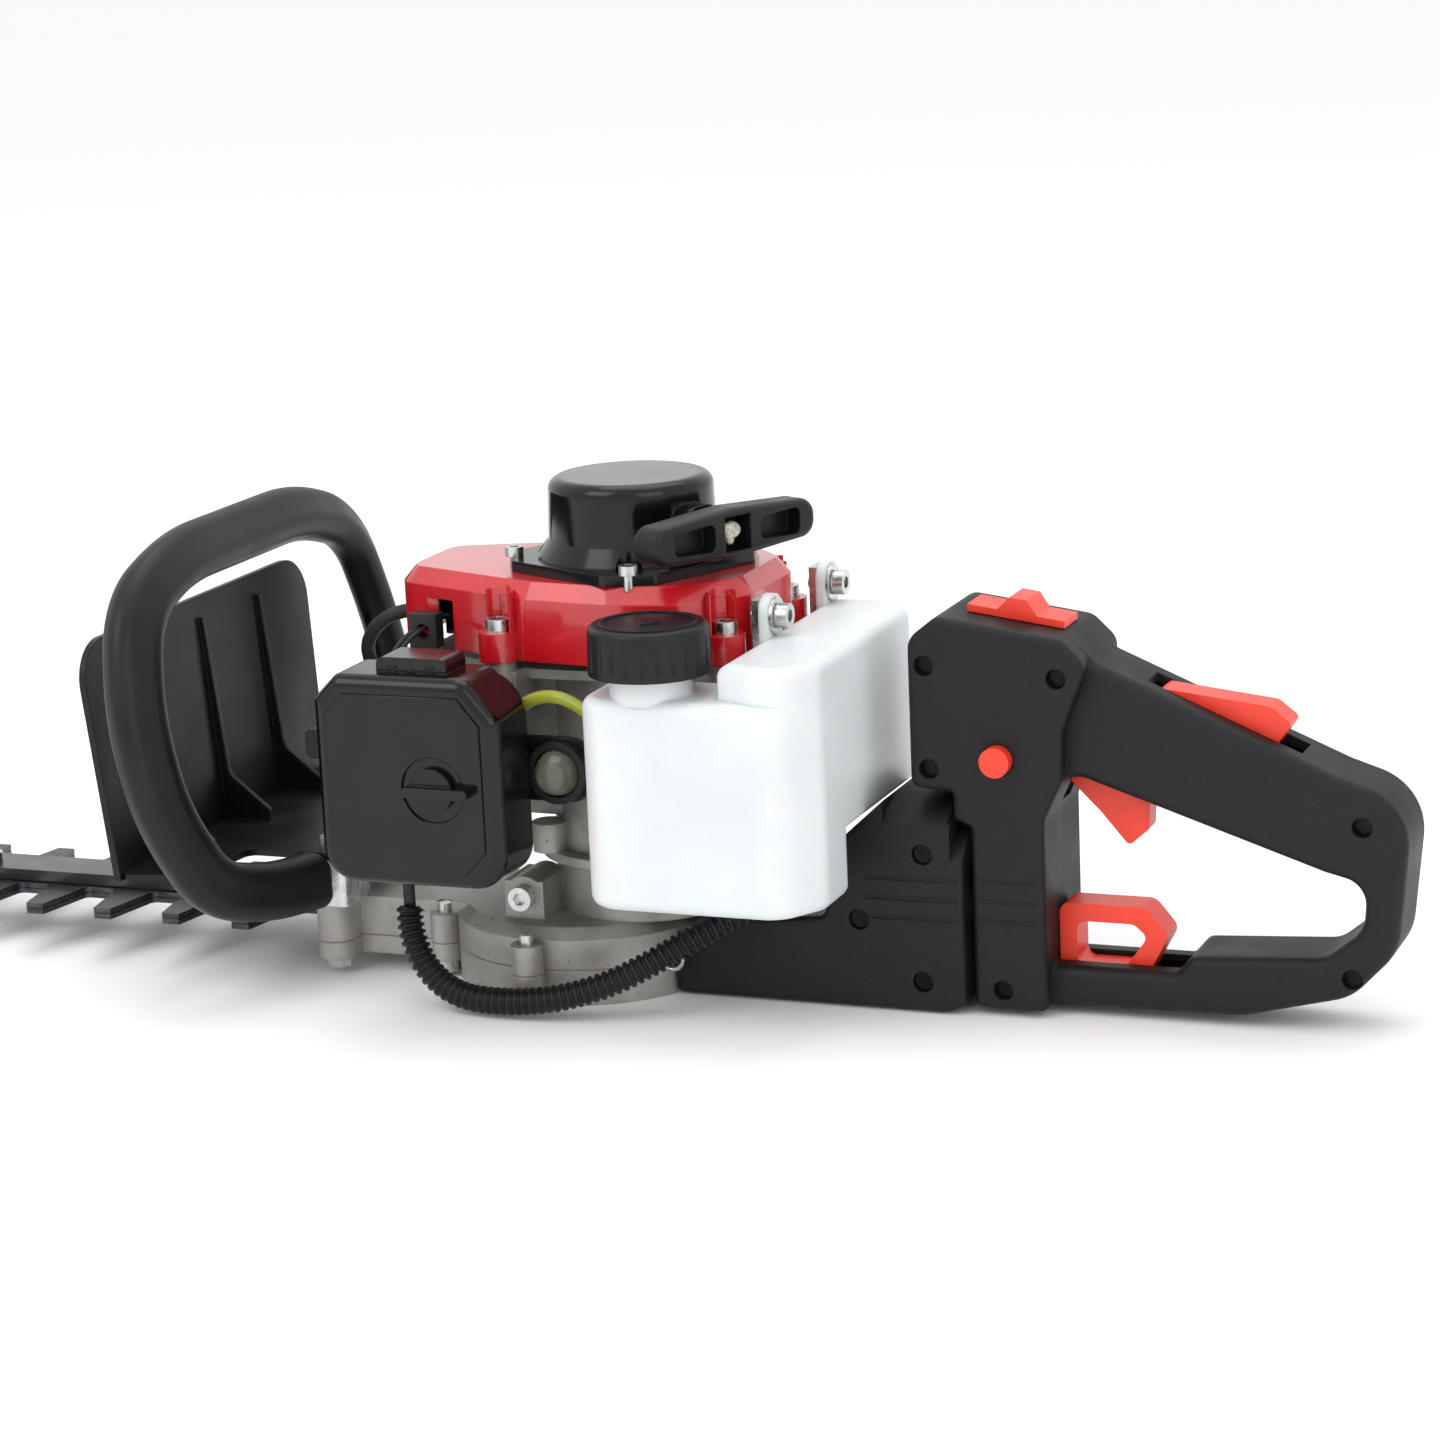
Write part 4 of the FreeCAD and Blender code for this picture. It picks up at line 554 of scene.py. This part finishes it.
class TRIMMER_OT_wires(bpy.types.Operator):
    """Run the stop-switch wires and hang the wire ring on the gear case"""
    bl_idname = "trimmer.wires"
    bl_label = "Wires"

    def execute(self, context):
        for number, shift in enumerate((0, 2.6), start=1):
            route = ((-80 + shift, -34, 149), (-81 + shift, -46, 149), (-86 + shift, -57, 138),
                     (-84 + shift, -57, 110), (-83 + shift, -58.5, 76), (-80.3 + shift * 0.4, -62, 41))
            place(f"switch_wire_{number}", round_wire(path_points(route), 1.05, sides=10), FINISHES["rubber"],
                  "engine")
        x, y, z = RING_CENTRE
        hoop = [(across, y, up) for across, up in circle(x, z, 4.6, 40)]
        place("wire_ring", round_wire(hoop, 0.9, closed=True), FINISHES["zinc"], "engine")
        return {"FINISHED"}


class TRIMMER_OT_pockets(bpy.types.Operator):
    """Close the inner side of the shroud's four screw pockets with curved red walls"""
    bl_idname = "trimmer.pockets"
    bl_label = "Screw pockets"

    def execute(self, context):
        verts = []
        faces = []
        for x, y in SHROUD_SCREWS:
            inward = math.atan2(-y, SHROUD_CENTRE_X - x)
            start = len(verts)
            for step in range(19):
                turn = inward + math.radians(-85 + 170 * step / 18)
                outward = Vector((math.cos(turn), math.sin(turn), 0))
                for radius, height in ((6.3, 150), (6.3, 168), (7.1, 168), (7.1, 150)):
                    verts.append((Vector((x, y, height)) + outward * radius) * MM)
            for step in range(18):
                for corner in range(4):
                    beside = (corner + 1) % 4
                    low = start + 4 * step
                    faces.append((low + corner, low + beside, low + 4 + beside, low + 4 + corner))
            faces.append(tuple(start + corner for corner in (3, 2, 1, 0)))
            faces.append(tuple(start + 72 + corner for corner in range(4)))
        mesh = bpy.data.meshes.new("pockets")
        mesh.from_pydata(verts, [], faces)
        mesh.validate()
        place("screw_pocket_walls", mesh, FINISHES["red_paint"], "engine")
        return {"FINISHED"}


class TRIMMER_OT_cover_trim(bpy.types.Operator):
    """Raise the air-cleaner cover's face panel and the marks on its hump"""
    bl_idname = "trimmer.cover_trim"
    bl_label = "Cover trim"

    def execute(self, context):
        upright = Matrix.Rotation(math.radians(90), 4, "X")
        face = [(-91, 76), (-91, 129), (-83, 137), (-34, 137), (-25, 126), (-25, 76), (-34, 66), (-81, 66)]
        on_face = Matrix.Translation((0, COVER_FACE_Y * MM, 0)) @ upright
        panel = flat_piece([face, circle(-46, 100, 13)], 1.8, 0.5, on_face)
        place("cover_panel", panel, FINISHES["gloss_black"], "engine")
        marks = [[(-59, 144.2), (-57, 146), (-55, 144.2), (-57, 142.4)]]
        marks += [[(x, z), (x + 4, z), (x + 4, z + 0.9), (x, z + 0.9)]
                  for x in (-67, -51) for z in (141.8, 143.8, 145.8)]
        on_hump = Matrix.Translation((0, HUMP_FACE_Y * MM, 0)) @ upright
        for number, mark in enumerate(marks, start=1):
            plate = flat_piece([mark], 0.8, 0.15, on_hump)
            place(f"cover_mark_{number}", plate, FINISHES["gloss_black"], "engine")
        return {"FINISHED"}


class TRIMMER_OT_cap_trim(bpy.types.Operator):
    """Raise the ring and the plain drop shape on the fuel cap"""
    bl_idname = "trimmer.cap_trim"
    bl_label = "Cap trim"

    def execute(self, context):
        x, y = CAP_CENTRE
        top = Matrix.Translation((0, 0, CAP_TOP_Z * MM))
        ring = flat_piece([circle(x, y, 19), circle(x, y, 17.6)], 1.0, 0.2, top)
        place("cap_ring", ring, FINISHES["satin_black"], "cap")
        drop = [(x + 5 * math.sin(turn) * math.sin(turn / 2), y - 7 * math.cos(turn))
                for turn in (2 * math.pi * step / 40 for step in range(40))]
        place("cap_drop", flat_piece([drop], 1.0, 0.2, top), FINISHES["satin_black"], "cap")
        return {"FINISHED"}


class TRIMMER_OT_stage(bpy.types.Operator):
    """Lay the floor, set the soft lights and place the camera"""
    bl_idname = "trimmer.stage"
    bl_label = "Stage"

    def execute(self, context):
        mesh = bpy.data.meshes.new("floor")
        corners = [(x * FLOOR_HALF, y * FLOOR_HALF, 0) for x, y in ((-1, -1), (1, -1), (1, 1), (-1, 1))]
        mesh.from_pydata(corners, [], [(0, 1, 2, 3)])
        floor = bpy.data.objects.new("floor", mesh)
        context.scene.collection.objects.link(floor)
        paper = context.scene.trimmer_colours.floor_paper
        # Matt studio paper: even, with a barely uneven tone.
        mesh.materials.append(moulded("Matt studio paper", paper, paper, 200, 8, 0.01, (0.85, 0.95),
                                      edge=0.1))
        world = bpy.data.worlds.new("Studio")
        world.use_nodes = True
        world.node_tree.nodes["Background"].inputs["Color"].default_value = (1, 1, 1, 1)
        world.node_tree.nodes["Background"].inputs["Strength"].default_value = 1.0
        context.scene.world = world
        context.scene.view_settings.view_transform = "Standard"
        for name, spot, aim, size, power in (("key", (-0.9, -1.5, 1.7), (0, 0, 0.1), 1.3, 13),
                                             ("fill", (1.5, -1.2, 1.1), (0.1, 0, 0.1), 1.2, 6),
                                             ("top", (0.0, 0.5, 2.0), (0, 0, 0.1), 1.6, 12)):
            lamp = bpy.data.lights.new(name, "AREA")
            lamp.size = size
            lamp.energy = power
            light = bpy.data.objects.new(name, lamp)
            light.location = spot
            light.rotation_euler = (Vector(spot) - Vector(aim)).to_track_quat("Z", "Y").to_euler()
            context.scene.collection.objects.link(light)
        lens = bpy.data.cameras.new("view")
        lens.sensor_width = 36
        lens.lens = 96.5
        camera = bpy.data.objects.new("view", lens)
        context.scene.collection.objects.link(camera)
        azimuth, elevation, roll = (math.radians(angle) for angle in CAMERA_ANGLES)
        tilt = Matrix.Rotation(math.pi / 2 - elevation, 4, "X") @ Matrix.Rotation(roll, 4, "Z")
        camera.matrix_world = (Matrix.Translation(CAMERA_PLACE) @ Matrix.Rotation(azimuth, 4, "Z") @ tilt)
        context.scene.camera = camera
        return {"FINISHED"}


class TRIMMER_PT_panel(bpy.types.Panel):
    bl_idname = "TRIMMER_PT_panel"
    bl_label = "Hedge trimmer"
    bl_space_type = "VIEW_3D"
    bl_region_type = "UI"
    bl_category = "Trimmer"

    def draw(self, context):
        for group in (context.scene.trimmer_colours, context.scene.trimmer_sizes):
            for name in group.__annotations__:
                self.layout.prop(group, name)
        for operator in OPERATORS:
            self.layout.operator(operator.bl_idname)


OPERATORS = (TRIMMER_OT_finishes, TRIMMER_OT_conduit, TRIMMER_OT_cords, TRIMMER_OT_rope, TRIMMER_OT_wires,
             TRIMMER_OT_pockets, TRIMMER_OT_cover_trim, TRIMMER_OT_cap_trim, TRIMMER_OT_stage)
CLASSES = (TrimmerColours, TrimmerSizes, *OPERATORS, TRIMMER_PT_panel)


def register():
    for item in CLASSES:
        bpy.utils.register_class(item)
    bpy.types.Scene.trimmer_colours = bpy.props.PointerProperty(type=TrimmerColours)
    bpy.types.Scene.trimmer_sizes = bpy.props.PointerProperty(type=TrimmerSizes)


def unregister():
    del bpy.types.Scene.trimmer_sizes
    del bpy.types.Scene.trimmer_colours
    for item in reversed(CLASSES):
        bpy.utils.unregister_class(item)


def main():
    register()
    for operator in OPERATORS:
        family, name = operator.bl_idname.split(".")
        getattr(getattr(bpy.ops, family), name)()
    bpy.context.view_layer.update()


if __name__ == "__main__":
    main()
